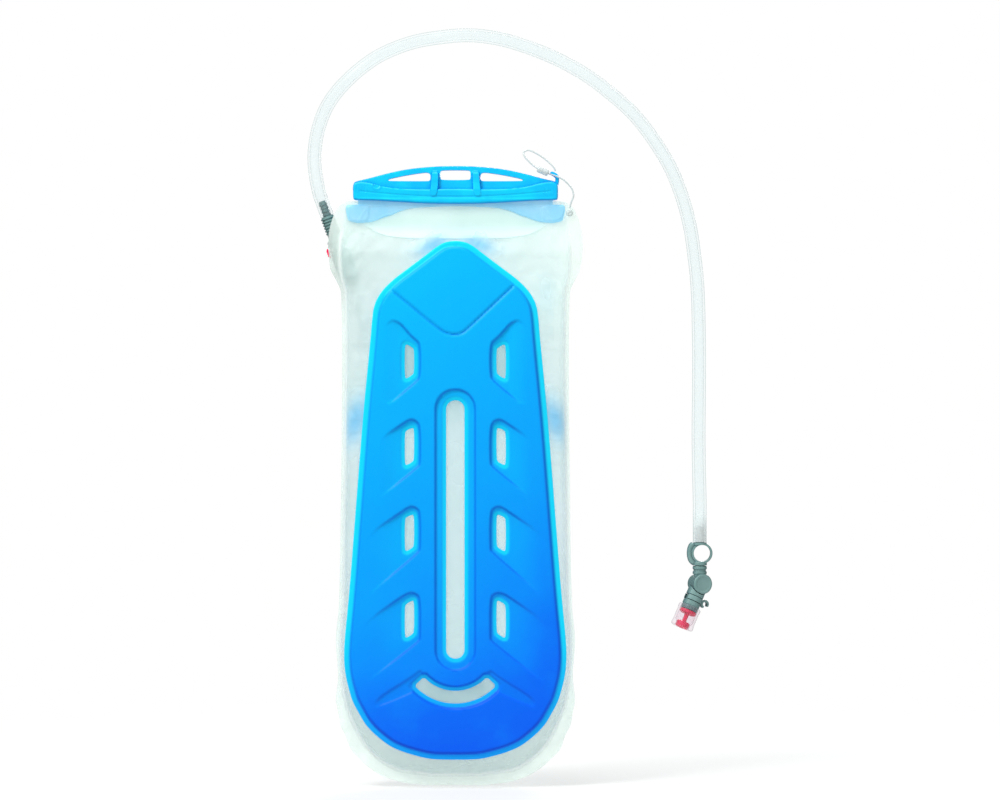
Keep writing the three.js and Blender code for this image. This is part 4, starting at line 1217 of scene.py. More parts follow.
def build_plate():
    holes = plate_holes()
    step = by_quality(1.05)
    grid = hex_grid((-78, 17), (78, 377), step)
    grid = grid[(inset(grid, PLATE) > 0.45 * step) & (inset_any(grid, holes) < -0.45 * step)]
    loops = [resample(PLATE, step * 0.9)] + [resample(h, step * 0.75) for h in holes]
    plan, tris = triangulate(
        loops, grid, lambda points: (inset(points, PLATE) > 0) & (inset_any(points, holes) < 0))
    x, z = plan.T
    from_edge = inset(plan, PLATE)
    from_hole = -inset_any(plan, holes)
    # thin weld rim, a rounded step up, and the slightly crowned panel
    panel = smoothstep(PLATE_RIM_WIDTH - 0.9, PLATE_RIM_WIDTH + 0.9, from_edge)
    height = (PLATE_PANEL_T - 0.35) * panel + 0.35 * smoothstep(4, 22, from_edge)
    down = plate_sinking(plan)
    height = height - down * panel
    # thin welded ring round every hole
    ring = 1 - smoothstep(1.9, 3.1, from_hole)
    height = height * (1 - ring)
    edge = 0.45 * edge_drop(from_edge, 0.7) + 0.35 * edge_drop(from_hole, 0.6)
    front = PLATE_BACK - PLATE_RIM_T - height + edge
    thing = plate_mesh(plan, tris, front, holes)

    edge_rim = 1 - smoothstep(PLATE_RIM_WIDTH - 1.6, PLATE_RIM_WIDTH + 0.3, from_edge)
    # steep walls get a deeper colour, partly the plastic's own and partly painted shade
    wall = smoothstep(0.15, 1.3, plate_slope(plan, tris, height)) * (from_edge > 1.2)
    # painted shade: the outer step is darker low down and to the right, away from the light,
    # with a painted shadow along the step there
    painted_shade_low_right = np.maximum(smoothstep(90, 35, z),
                           0.6 * smoothstep(20, 60, x) * smoothstep(360, 300, z))
    wall = np.where(from_edge < 7, wall * (0.6 + 0.7 * painted_shade_low_right), wall)
    shadow = 1.5 * painted_shade_low_right * bell(from_edge - PLATE_RIM_WIDTH - 0.5, 0.85)
    values = {"rim": np.maximum(edge_rim, 0.75 * ring),
              "sunk": np.clip(down / CHANNEL_DEPTH, 0, 1),
              "wall": np.maximum(wall, shadow)}
    back_count = len(thing.data.vertices) - len(plan)
    for name, front_values in values.items():
        add_attribute(thing.data, name, np.concatenate([front_values, np.zeros(back_count)]))
    place(thing, "bladder", "backer_plastic", "backer_plate")


build_plate()

# ---------------------------------------------------------------- hoses
PORT_Y = float(back_depth(PORT_Z)) + FILM_FACE
# (x, z) of the drinking hose's arc over the bladder and down to the valve
HOSE_ARC = [
    [-96.6, 417.5], [-98.1, 427.8], [-98.2, 438.2], [-96.9, 448.5], [-94.2, 458.9],
    [-90, 469.2], [-83.1, 479.6], [-72.8, 490.6], [-62.4, 499.2], [-52.1, 505.8],
    [-31.4, 514.1], [-10.7, 518], [10, 519.4], [30.7, 516.8], [51.4, 510.6], [72.1, 502.0],
    [92.8, 490.2], [113.5, 474], [123.9, 464.2], [136.3, 448.5], [149, 427.8],
    [157.3, 407.1], [162.8, 386.4], [165.9, 365.7], [168, 345], [169.1, 303.6],
    [169.1, 272.6], [168.8, 241.5], [169.2, 212]]


def port_frame(lift):
    return at_mm(0, PORT_Y + lift, PORT_Z) @ turn(-(math.pi / 2 + PORT_LEAN), "X")


PORT_FRAME = port_frame(0.35)


def spout(distance):
    """Point on the port's side spout, in the port's own frame."""
    return (-math.sin(PORT_TURN) * distance, -math.cos(PORT_TURN) * distance, 7.5)


def port_point(distance):
    return tuple((PORT_FRAME @ Vector([v * MM for v in spout(distance)])) / MM)


def qd_point(rise):
    x, y, z = QD_CENTRE
    return (x - math.sin(QD_TILT) * rise, y, z + math.cos(QD_TILT) * rise)


def build_hose(name, body, node, path, per_span):
    tube = sweep(name, spline(path, per_span, 3.0), HOSE_RADIUS, 28, BORE_RADIUS)
    place(tube, body, "hose_clear", node)


def build_hoses():
    lower = [qd_point(rise) for rise in (-30.4, -36, -42.5)]
    lower += [(-63.4, 20.5, 320), (-57.6, 27.5, 292), (-50.5, 33.5, 255), (-42, 38.5, 210),
              (-32.6, 42.5, 165), (-24, 45.6, 130)]
    lower += [port_point(distance) for distance in (40, 27, 20, 12)]
    build_hose("lower_hose_tube", "bladder", "lower_hose", lower, 12)
    drinking = [qd_point(rise) for rise in (20.2, 26, 32.5, 35)]
    for i, (x, z) in enumerate(HOSE_ARC):
        y = QD_CENTRE[1] + (VALVE_Y - QD_CENTRE[1]) * min(1, (i + 1) / 8)
        drinking.append((x, y, z))
    drinking += [(VALVE_X, VALVE_Y, z) for z in (196, 186, 176, 167.1)]
    build_hose("drinking_hose_tube", "drinking_hose", "drinking_hose", drinking, 14)


build_hoses()

# ---------------------------------------------------------------- slider bar
SLIDER_BODY = soften(mirrored([
    (0, 400.7), (20, 401.0), (40, 402.2), (55, 403.2), (66, 403.4), (69.9, 403.8),
    (70.7, 404.8), (70.7, 412.9), (70.0, 414.9), (67.4, 416), (62, 415.9), (58, 415.2),
    (50, 412.9), (34, 411.2), (18, 410.9), (0, 411.4)]))
SLIDER_HANDLE = soften(mirrored([
    (0, 408), (69, 408), (70.3, 410), (70.5, 414.5), (69.2, 416.4), (60, 418.4),
    (49.2, 421.4), (37.8, 424), (28.2, 425.5), (18, 426.4), (9.5, 426.9), (0, 427)]))
SLIDER_LUG = soften([
    (64.6, 421.4), (66.2, 423.8), (71.2, 421.2), (71.6, 416.6), (70.4, 412), (67, 412),
    (69.2, 417.8), (68.4, 419.6)])
MIDDLE_WINDOW = soften([
    (-10.4, 418.2), (-9.2, 417.3), (9.2, 417.3), (10.4, 418.2), (10.4, 423.3), (9.2, 424.2),
    (-9.2, 424.2), (-10.4, 423.3)])
SIDE_WINDOW = np.array([
    (17.2, 417.9), (17.9, 416.8), (19.5, 416.5), (44, 416.6), (46.6, 416.9), (46.2, 418),
    (40, 419.4), (33, 420.8), (21, 422.6), (18.2, 422.3), (17.3, 420.9)])
# lens-shaped web sunk under each side window
LENS = soften([
    (14.8, 416.9), (14.8, 413.4), (20, 411.9), (32, 411.2), (44, 411.9), (53, 413.9),
    (56.5, 416.2), (50, 417.2), (30, 417.4)])
# strut beside the middle window, which runs down the face as a rib
STRUT = soften([
    (10.9, 424.6), (16.9, 424.4), (17.2, 417), (18.4, 408), (17.6, 405.6), (14.8, 404.9),
    (12.4, 406.4), (11.3, 412)])


def slider_thickness(plan, solid):
    """Half thickness of the slider over its plan; solid is the inset of its outline."""
    x, z = plan.T
    across = np.abs(x)
    folded = np.stack([across, z], 1)

    def pillow(distance, thickness, radius):
        level = thickness - radius * edge_drop(distance, radius)
        return np.where(distance > -0.02, level, 0)

    from_body = inset(plan, SLIDER_BODY)
    body = pillow(from_body, 6.0, 1.5)
    web = smoothstep(-0.5, 0.9, inset(folded, LENS))
    body = body * (1 - web) + np.minimum(body, 3.0) * web
    handle = pillow(inset(plan, SLIDER_HANDLE), 3.2, 0.9)
    lug = pillow(inset(plan, SLIDER_LUG), 2.4, 0.7)
    level = np.maximum(np.maximum(body, handle), lug)
    # struts
    in_strut = inset(folded, STRUT)
    strut = ((5.65 + 0.9 * smoothstep(416, 409, z)) * smoothstep(-0.6, 0.9, in_strut)
             * smoothstep(426, 421.5, z))
    level = np.where((in_strut > -0.6) & (solid > 0.2),
                     np.maximum(level, np.minimum(strut, 6.45)), level)
    # raised lower lip, and the groove above it
    level = level + 0.45 * smoothstep(405.3, 403.6, z) * (from_body > 0.2) * smoothstep(
        0, 1.2, from_body)
    groove_z = 405.7 + 0.0009 * across * across
    level = level - 0.3 * bell(z - groove_z, 0.45) * (across < 66) * smoothstep(
        0.6, 1.6, from_body)
    # round boss with a dimple on the left
    from_boss = np.hypot(x + 54.2, z - 413.6)
    inside = from_body > 0.3
    boss = 6.15 * smoothstep(4.5, 3.4, from_boss) * inside
    level = np.where(from_boss < 4.6, np.maximum(level, boss), level)
    dimple = 0.45 * smoothstep(2.6, 2.0, from_boss)
    level = np.where((from_boss < 2.6) & inside, level - dimple, level)
    # ribbed finger pads at both ends
    pad = (smoothstep(59, 60.5, across) * smoothstep(69.4, 68, across)
           * smoothstep(406, 407, z) * smoothstep(413.6, 412.4, z))
    rib_pitch = 1.9
    level = level + pad * 0.22 * np.maximum(0, np.sin(across * 2 * math.pi / rib_pitch))
    return np.maximum(level, 0.7)


def build_slider():
    shapes = [SLIDER_BODY, SLIDER_HANDLE, SLIDER_LUG]
    windows = [MIDDLE_WINDOW, soften(SIDE_WINDOW), soften(SIDE_WINDOW * np.array([-1, 1]))]
    step = by_quality(0.55)
    grid = hex_grid((-72, 400), (73, 428), step)
    grid = grid[(inset_any(grid, shapes) > step * 0.35)
                & (inset_any(grid, windows) < -step * 0.4)]
    loops = [resample(s, step * 0.8) for s in shapes]
    loops += [resample(w, step * 0.7) for w in windows]
    plan, tris = triangulate(
        loops, grid,
        lambda points: (inset_any(points, shapes) > 0) & (inset_any(points, windows) < 0))
    level = slider_thickness(plan, inset_any(plan, shapes))
    thing = relief("slider_body", plan, tris, -level, level, 38)
    # channel for the rails: their webs, then their wider bars
    web_channel = box(-74, 67.6, 397, 404.8, 3.1, 6.2)
    bar_channel = box(-74, 67.6, 404.6, 410.4, 4.9, 9.8)
    boolean(thing, [web_channel, bar_channel], angle=38)
    place(thing, "slider", "slider_plastic", "slider_bar")


build_slider()


# ---------------------------------------------------------------- closure rails
def build_rails():
    low_edge = [(x, float(rail_low(x))) for x in np.linspace(0, 75.4, 60)]
    outline = mirrored(low_edge + [(75.5, 397.5), (75.2, 399.4), (74.4, 400.2)])
    pad = soften([(74.7, 399.9), (74.7, 396.6), (74, 391.6), (71.4, 389.6), (66.6, 388.7),
                  (60.4, 389.2), (59.6, 394), (59.2, 399.9)])
    fold = soften([(56.2, 400.5), (60.2, 398), (63.6, 393.5), (66.2, 387.5), (67.4, 387.4),
                   (64.8, 394), (61.4, 398.8), (58, 401)])
    step = by_quality(0.75)
    grid = hex_grid((-76, 387), (76, 401), step)
    grid = grid[inset(grid, outline) > step * 0.45]
    plan, tris = triangulate([resample(outline, step * 0.8)], grid,
                             lambda points: inset(points, outline) > 0)
    folded = np.stack([np.abs(plan[:, 0]), plan[:, 1]], 1)
    from_edge = inset(plan, outline)
    outer = (2.75 + 1.05 * smoothstep(-0.5, 0.7, inset(folded, pad))
             - 0.5 * edge_drop(from_edge, 0.6)
             + 0.35 * smoothstep(-0.5, 0.3, inset(folded, fold))
             + 0.25 * smoothstep(1.6, 0.4, from_edge))
    inner = np.full(len(plan), RAIL_GAP)
    for side, surfaces in (("front", (-outer, -inner)), ("back", (inner, outer))):
        thing = relief(side + "_rail", plan, tris, *surfaces, 45)
        # upright web, and the bar on top that the slider holds: z range, depth, bevel
        uprights = []
        for bottom, top, depth, bevel in ((399.4, 405.8, 1.5, 0.25), (405, 409.8, 3.25, 0.5)):
            y_back = -RAIL_GAP if side == "front" else RAIL_GAP + depth
            uprights.append(box(-67, 67, bottom, top, y_back, depth, bevel))
        boolean(thing, uprights, "UNION", 45)
        place(thing, "bladder", "rail_plastic", side + "_closure_rail")


build_rails()


# ---------------------------------------------------------------- mouth collars
def collar_surfaces(side, depth, xs, rows):
    """Outer and inner points, row by row from the collar's lower edge."""
    gap = 1.35
    taper_x, tip_x = 60, 62.6
    outer, inner = [], []
    for i in range(rows):
        for x in xs:
            low = float(collar_low(abs(x)))
            high = max(float(rail_low(abs(x))) - 0.6, MOUTH_Z + 0.3)
            if abs(x) > taper_x:
                high = low + (high - low) * (tip_x - abs(x)) / (tip_x - taper_x)
            z = low + (high - low) * i / (rows - 1)
            y = gap if z > MOUTH_Z else gap + float(depth(z))
            bead = 0.22 * math.exp(-((z - low - 0.8) / 0.6) ** 2)
            soft = 0.25 * noise.noise(Vector((x * 0.07, z * 0.16, 5.0 * side)))
            outer.append((x, side * (y + 0.5 + bead + max(0, soft)), z))
            inner.append((x, side * y, z))
    return outer, inner


def build_collar(name, node, side, depth):
    xs = np.linspace(-62, 62, 100)
    rows, columns = 18, len(xs)
    outer, inner = collar_surfaces(side, depth, xs, rows)
    n = len(outer)
    faces = []
    for i in range(rows - 1):
        for j in range(columns - 1):
            start = i * columns + j
            quad = (start, start + 1, start + columns + 1, start + columns)
            faces += [quad, tuple(n + k for k in reversed(quad))]
    top = (rows - 1) * columns
    for j in range(columns - 1):
        faces += [(j + 1, j, n + j, n + j + 1), (top + j, top + j + 1, n + top + j + 1, n + top + j)]
    for i in range(rows - 1):
        left, above = i * columns, (i + 1) * columns
        right, right_above = left + columns - 1, above + columns - 1
        faces += [(left, above, n + above, n + left),
                  (right_above, right, n + right, n + right_above)]
    place(make_object(name, outer + inner, faces, 50), "bladder", "collar_film", node)


build_collar("collar_front", "mouth_collar_front", -1, front_depth)
build_collar("collar_back", "mouth_collar_back", 1, back_depth)

# ---------------------------------------------------------------- tether
TETHER_Y = -4.3
TETHER_PATH = [
    (78.8, -2.1, 398.0), (79.8, -2.9, 402.0), (81.4, TETHER_Y, 406.4),
    (80.2, TETHER_Y, 411.2), (75.4, TETHER_Y, 416.6), (70.7, TETHER_Y, 419.4),
    (65.5, TETHER_Y, 421.2), (60, TETHER_Y, 423.2), (55.5, TETHER_Y, 425.9),
    (51.4, TETHER_Y, 429.2), (47.6, -3.6, 433.6), (47.0, -2.6, 436.3), (50, -1.6, 437.9),
    (57.6, -0.8, 434.7), (64.9, -0.4, 429.2), (68.2, -0.2, 425.6), (68.9, 0, 423.6)]


def build_tether():
    cord = sweep("tether_loop", spline(TETHER_PATH, 12, 0.7), 0.55, 12)
    dress(cord, "tether_clear", "tether_cord")
    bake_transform(cord)

    matrix, length = aim((64, TETHER_Y, 421.75), (56.6, TETHER_Y, 424.95))
    profile = [(0.75, 0), (1.7, 0), (2.2, 0.9), (2.2, length * 0.42), (1.95, length * 0.5),
               (2.2, length * 0.58), (2.2, length - 0.9), (1.7, length), (0.75, length)]
    toggle = lathe("tether_toggle", profile, 36, matrix, corner=0.3)
    place(toggle, "slider", "tether_clear", "tether_bead")

    profile = [(0, 0), (2.3, 0), (2.3, 0.55), (1.5, 1.1), (0.8, 1.1), (0.55, 0.75), (0, 0.7)]
    matrix = at_mm(78.7, -(FILM_FACE + 0.3), 394.6) @ turn(math.pi / 2, "X")
    button = lathe("tether_button", profile, 36, matrix, corner=0.2)
    place(button, "bladder", "tether_clear", "tether_anchor")


build_tether()


# ---------------------------------------------------------------- outlet port
def build_port():
    profile = [(0, 0), (17.6, 0), (18.0, 0.5), (18.0, 1.0), (16.9, 1.6), (16.2, 2.3),
               (12, 2.3), (11.4, 1.9), (9.6, 1.9), (8.8, 2.6), (8.5, 4), (8.5, 10.9),
               (7.9, 11.9), (6.8, 12.4), (4.4, 12.4), (4.0, 12.0), (0, 12.0)]
    parts = [lathe("disc", profile, 64, corner=0.35)]
    # ribs that stiffen the welded disc, except under the spout
    spout_angle = 270 - 25
    for i in range(12):
        a = 2 * math.pi * i / 12
        if abs(((math.degrees(a) - spout_angle + 180) % 360) - 180) < 20:
            continue
        x, y = math.cos(a), math.sin(a)
        parts.append(cylinder(0.55, (x * 8, y * 8, 1.9), (x * 15.2, y * 15.2, 1.9), 10))
    parts.append(cylinder(4.7, spout(0), spout(11.6), bevel=0.5))
    parts.append(cylinder(5.3, spout(9.4), spout(11.0), bevel=0.4))
    parts.append(cylinder(2.35, spout(5), spout(23.8), 32))
    for k in range(4):
        start = 13.2 + 2.7 * k
        parts.append(cylinder(2.9, spout(start), spout(start + 2.3), 32, end_radius=2.3))
    port = fuse("outlet_port_body", parts, by_quality(0.2), ratio=0.5)
    boolean(port, [cylinder(3.0, (0, 0, -1), (0, 0, 8.5), 32),
                   cylinder(1.7, spout(0), spout(26), 24)])
    move(port, PORT_FRAME, 40)
    place(port, "bladder", "port_plastic", "outlet_port")

    profile = [(18.1, -0.1), (20.6, -0.1), (20.6, 0.25), (20.2, 0.5), (18.5, 0.5),
               (18.1, 0.25)]
    bead = lathe("port_weld_bead", profile, 72, corner=0.2)
    move(bead, port_frame(0.3))
    place(bead, "bladder", "bladder_film")


build_port()

# ---------------------------------------------------------------- quick disconnect
QD_FRAME = at_mm(*QD_CENTRE) @ turn(-QD_TILT, "Y")
BUTTON_Z = -7.3                         # axis of the release button's spring


def coil(name, radius, wire, start, end, along_x):
    """Three turns about the disconnect's Z, or along X about the button's axis."""
    turns = 3
    count = turns * 28
    points = []
    for i in range(count + 1):
        t = i / count
        w = t * turns * 2 * math.pi
        rise = start + (end - start) * t
        a, b = radius * math.cos(w), radius * math.sin(w)
        points.append((rise, a, BUTTON_Z + b) if along_x else (a, b, rise))
    spring = sweep(name, points, wire, 8)
    move(spring, QD_FRAME)
    return spring


def build_plug():
    nose = 4.0
    profile = [
        (1.9, -13.5), (nose - 0.6, -13.5), (nose, -12.8), (nose, -10.2), (2.9, -10.2),
        (2.9, -7.8), (nose, -7.8), (nose, -5.5), (3.1, -5.5), (3.1, -2.9), (nose, -2.9),
        (nose, 0.3), (6.0, 0.3), (6.5, 0.8), (6.5, 1.9), (6.0, 2.6), (4.9, 3.4), (4.6, 4.4),
        (4.6, 7.4)]
    profile += ridges(7.4, 2.08, (5.15, 0.15), (5.15, 1.15), (4.5, 1.3), (4.5, 2.0), count=6)
    profile += [(2.5, 20.0)] + ridges(20.4, 2.5, (2.95, 0), (2.4, 2.3))
    profile += [(2.3, 30.7), (1.9, 31)]
    plug = lathe("qd_plug_body", profile, 56, QD_FRAME, corner=0.16, arc_steps=2)
    place(plug, "drinking_hose", "grey_plastic", "qd_plug")
    seal = torus("qd_nose_seal", 3.6, 0.38, -9, 56, 14, QD_FRAME)
    place(seal, "plug_seal", "seal_rubber", "qd_plug_oring")


def build_socket():
    """Fluted lower grip band, plain waist, and slots for the latch plate and button."""
    profile = [(6.6, 0), (4.3, 0), (4.3, -14.5), (2.4, -14.5), (2.4, -16), (4.6, -16),
               (4.6, -28), (6.3, -28), (7.1, -26.9), (7.15, -20.2), (6.8, -19.6),
               (6.8, -18.6), (7.15, -18.0), (7.2, -11.2), (7.2, -0.8)]
    socket = lathe("qd_socket_body", profile, 72, corner=0.3)
    cutters = []
    for i in range(24):
        a = 2 * math.pi * (i + 0.5) / 24
        x, y = 7.35 * math.cos(a), 7.35 * math.sin(a)
        cutters.append(cylinder(0.42, (x, y, -26), (x, y, -20.8), 10))
    cutters.append(box(-10, 10, -5.4, -3, 5.8, 11.6))
    cutters.append(box(-10, -5.0, -8.9, -0.9, 4.0, 8.0))
    boolean(socket, cutters)
    move(socket, QD_FRAME)
    place(socket, "bladder", "grey_plastic", "qd_socket")

    profile = [(1.9, -41), (2.3, -41)] + ridges(-40.6, 2.5, (2.4, 0), (2.95, 2.2))
    profile += [(2.6, -30.2), (5.4, -30.0), (6.6, -29.4), (6.6, -28.3), (4.2, -28.3),
                (4.2, -27.3), (1.9, -27.3)]
    tail = lathe("qd_tail", profile, 56, QD_FRAME, corner=0.15, arc_steps=2)
    place(tail, "bladder", "grey_plastic", "qd_tail_barb")


def build_button():
    """Curved pad with three raised finger ribs."""
    outline = soften([(-7.1, -8.4), (-8.2, -8.4), (-8.75, -7.2), (-8.9, -5), (-8.75, -2.8),
                      (-8.2, -1.6), (-7.1, -1.6)])
    parts = [slab("pad", outline, 3.5, 7.0, 0.35)]
    parts += [cylinder(0.42, (-8.75, -2.6, z), (-8.75, 2.6, z), 16, bevel=0.2)
              for z in (-6.6, -5.0, -3.4)]
    button = fuse("qd_button_pad", parts, 0.16, ratio=0.6)
    move(button, QD_FRAME, 45)
    place(button, "qd_button", "red_plastic", "qd_release_button")


def build_latch():
    """Stamped strip with an oval hole."""
    rim = soften([(-6.8, -4.4), (-5.6, -5.4), (3.6, -5.4), (4.9, -4), (4.9, 4), (3.6, 5.4),
                  (-5.6, 5.4), (-6.8, 4.4)])
    quarter = math.pi / 2
    hole = arc(-0.2, 0, 4.35, np.linspace(-quarter, quarter, 24))
    hole += arc(-1.75, 0, 4.35, np.linspace(quarter, 3 * quarter, 24))
    strip = slab("qd_latch_strip", rim, 4.95, 1.5, 0.15)
    boolean(strip, [slab("hole", hole, 6, 4)])
    move(strip, QD_FRAME @ turn(-math.pi / 2, "X"))
    place(strip, "qd_button", "spring_steel", "qd_latch_plate")


def build_qd_inside():
    spring = coil("qd_button_coil", 0.85, 0.16, -6.75, -5.35, along_x=True)
    place(spring, "bladder", "spring_steel", "qd_button_spring")
    # the button's travel closes this short spring almost completely
    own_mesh(spring)
    profile = [(0, -13.85), (0.9, -13.85), (1.4, -14.3), (1.4, -19.2), (3.9, -19.2),
               (3.9, -20.9), (0, -20.9)]
    poppet = lathe("qd_valve_poppet", profile, 48, QD_FRAME, corner=0.2)
    place(poppet, "qd_poppet", "grey_plastic", "qd_poppet")
    spring = coil("qd_poppet_coil", 3.0, 0.3, -21.7, -26.6, along_x=False)
    dress(spring, "spring_steel", "qd_poppet_spring")
    # its lower end stays in the socket and its upper end follows the poppet
    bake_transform(spring)


build_plug()
build_socket()
build_button()
build_latch()
build_qd_inside()

# ---------------------------------------------------------------- bite valve
STEM_FRAME = at_mm(VALVE_X, VALVE_Y)
VALVE_FRAME = STEM_FRAME @ turn(VALVE_TURN, "Z")
HEAD_FRAME = VALVE_FRAME @ at_mm(z=DRUM_Z) @ turn(HEAD_TILT, "Y")
VALVE_VOXEL = by_quality(0.15)


def build_stem():
    """Inlet stem with its round eye; the water duct runs round the eye's left side."""
    profile = [(5.6, -EYE_HALF), (7.0, -EYE_HALF), (7.3, -EYE_HALF + 0.5),
               (7.3, EYE_HALF - 0.5), (7.0, EYE_HALF), (5.6, EYE_HALF)]
    ring = lathe("ring", profile, 80, along_y(EYE_X, 0, EYE_Z), corner=0.45)
    path = [(0, 0, 166.2), (-2.4, 0.3, 165.9), (-5.3, 0.6, 164.2), (-6.5, 0.8, 159.2),
            (-5.3, 0.6, 154.2), (-2.4, 0.3, 152.3), (0, 0, 151.6)]
    duct = sweep("duct", spline(path, 12, 0.5), 2.5, 28)
    boolean(duct, [box(-20, 20, 150.7, 166.7, 20, 40)], "INTERSECT")
    top = lathe("top", [(0, 163.6), (3.6, 163.8), (4.9, 164.9), (4.9, 166.7), (0, 166.7)],
                56, corner=0.3)
    base = lathe("base", [(0, 150.7), (5.0, 150.7), (5.0, 152.6), (4.2, 153.6), (0, 153.8)],
                 56, corner=0.3)
    pin = lathe("pin", [(0, 145.7), (2.95, 145.7), (2.95, 151), (0, 151)], corner=0.2)
    profile = [(0, 166.5), (2.5, 166.5)] + ridges(167.2, 2.6, (2.95, 0), (2.45, 2.4))
    barb = lathe("barb", profile + [(2.3, 178), (0, 178)])
    stem = fuse("valve_stem", [ring, duct, top, base, pin, barb], VALVE_VOXEL, ratio=0.55)
    seal_groove = [(2.25, 147), (3.6, 147), (3.6, 148.6), (2.25, 148.6)]
    boolean(stem, [cylinder(5.8, (EYE_X, -12, EYE_Z), (EYE_X, 12, EYE_Z), 80),
                   cylinder(1.35, (0, 0, 165.2), (0, 0, 180), 24),
                   cylinder(1.35, (0, 0, 140), (0, 0, 152), 24),
                   lathe("groove", seal_groove)], angle=45)
    move(stem, STEM_FRAME, 45)
    place(stem, "drinking_hose", "grey_plastic", "valve_inlet_stem")
    seal = torus("valve_stem_seal", 2.78, 0.3, 147.8, 48, 12, STEM_FRAME)
    place(seal, "drinking_hose", "seal_rubber", "stem_oring")


def build_knuckle():
    """Ribbed swivel collar, front half of the drum, and the spindle behind it."""
    profile = [(0, 144.4), (4.5, 144.4), (4.95, 145.1), (4.95, 146.4), (4.35, 146.8),
               (4.35, 147.8), (4.95, 148.2), (4.95, 149.7), (4.5, 150.4), (0, 150.4)]
    collar = lathe("collar", profile, 64, corner=0.2)
    profile = [(0, -5.95), (4.9, -6.0), (5.2, -6.2), (6.3, -6.2), (7.0, -5.5), (7.0, 0.1),
               (0, 0.1)]
    drum_axis = along_y(z=DRUM_Z)
    drum = lathe("drum", profile, 80, drum_axis, corner=0.25)
    spindle = cylinder(4.3, (0, 0, DRUM_Z), (0, 6.5, DRUM_Z), 56, bevel=0.3)
    neck = cylinder(4.5, (0, 0, 140), (0, 0, 145), 56)
    boolean(neck, [box(-8, 8, 139, 146, 8, 7.9)])
    knuckle = fuse("valve_knuckle_body", [collar, drum, spindle, neck], VALVE_VOXEL,
                   ratio=0.5)
    seal_groove = [(3.4, 4.1), (5.4, 4.1), (5.4, 5.7), (3.4, 5.7)]
    boolean(knuckle, [cylinder(3.25, (0, 0, 145.4), (0, 0, 151), 48),
                      cylinder(1.5, (0, 0, DRUM_Z), (0, 0, 146), 24),
                      cylinder(1.5, (0, -1.5, DRUM_Z), (0, 5.2, DRUM_Z), 24),
                      lathe("groove", seal_groove, 48, drum_axis)], angle=45)
    move(knuckle, VALVE_FRAME, 45)
    place(knuckle, "valve_knuckle", "grey_plastic", "knuckle_drum")

    seal = torus("valve_pivot_seal", 3.98, 0.34, 0, 48, 12)
    move(seal, VALVE_FRAME @ along_y(0, 4.9, DRUM_Z), 60)
    place(seal, "valve_knuckle", "seal_rubber", "pivot_oring")

    profile = [(0, 6.8), (5.4, 6.8), (5.4, 7.3), (4.9, 7.8), (4.4, 8.1), (1.2, 8.1),
               (0.9, 7.8), (0, 7.8)]
    cap = lathe("valve_pivot_cap", profile, 64, drum_axis, corner=0.2)
    move(cap, VALVE_FRAME)
    place(cap, "valve_knuckle", "grey_plastic", "pivot_cap")


# The head's pieces are built with their own -Z along the barrel.
def build_barrel():
    profile = [(0, -20), (5.9, -20), (5.9, -17.2), (6.2, -16.8), (6.2, -13.5), (5.2, -13.5),
               (5.2, -9.5), (6.2, -9.5), (6.2, 0), (0, 0)]
    tube = lathe("tube", profile, 72, corner=0.25)
    boolean(tube, [cylinder(7.35, (0, -12, 0), (0, 0.4, 0), 80)])
    back = cylinder(6.6, (0, 0.4, 0), (0, 6.2, 0), 72, bevel=0.5)
    barrel = fuse("valve_barrel_body", [tube, back], VALVE_VOXEL, ratio=0.55)
    boolean(barrel, [cylinder(7.32, (0, -12, 0), (0, 0.38, 0), 80),
                     cylinder(4.62, (0, -1, 0), (0, 9, 0), 56),
                     cylinder(2.2, (0, 0, -22), (0, 0, -4), 32)], angle=45)
    move(barrel, HEAD_FRAME, 45)
    place(barrel, "valve_head", "grey_plastic", "valve_barrel")


def build_lever():
    """Open ring round the barrel with a hooked finger tab."""
    ring = lathe("ring", [(5.5, -13.2), (6.5, -13.2), (6.5, -9.8), (5.5, -9.8)], 72,
                 corner=0.2)
    boolean(ring, [box(0, -12, -14, -9, 2.55, 5.1)])
    hook = arc(9.1, -11.5, 3.0, np.radians(np.linspace(-20, 270, 30)))
    hook += arc(9.1, -11.5, 1.6, np.radians(np.linspace(270, -20, 30)))
    tab = slab("tab", hook, 1.8, 3.6, 0.3)
    lever = fuse("shutoff_tab", [ring, tab], VALVE_VOXEL, ratio=0.6, smooth=1)
    boolean(lever, [cylinder(5.48, (0, 0, -20), (0, 0, 0), 72)], angle=45)
    move(lever, HEAD_FRAME, 45)
    place(lever, "shutoff_lever", "grey_plastic", "shutoff_lever")


def build_bite():
    profile = [(0, -17.6), (1.8, -17.6), (1.8, -20.4), (5.9, -20.4), (5.9, -22.2),
               (5.0, -22.9), (2.0, -23.2), (1.5, -24), (1.5, -28.0), (2.2, -28.6),
               (4.3, -28.9), (4.7, -29.5), (4.7, -32.7), (4.3, -33.1), (1.4, -33.1),
               (1.2, -32.7), (0, -32.7)]
    core = lathe("bite_core_body", profile, 64, corner=0.2)
    holes = []
    for i in range(4):
        a = math.radians(45 + 90 * i)
        x, y = 3.7 * math.cos(a), 3.7 * math.sin(a)
        holes.append(cylinder(1.15, (x, y, -24), (x, y, -19), 24))
    boolean(core, holes)
    move(core, HEAD_FRAME)
    place(core, "valve_head", "red_plastic", "bite_core")

    profile = [(7.5, -17.3), (6.3, -17.3), (6.3, -28.6), (5.1, -30.2), (5.1, -33),
               (7.4, -33), (8.0, -32.4), (8.0, -30.4), (7.75, -29.9), (7.75, -20.2),
               (8.0, -19.6), (8.0, -17.8)]
    sheath = lathe("bite_sheath_body", profile, 72, HEAD_FRAME, corner=0.3)
    place(sheath, "valve_head", "sheath_silicone", "bite_sheath")


build_stem()
build_knuckle()
build_barrel()
build_lever()
build_bite()

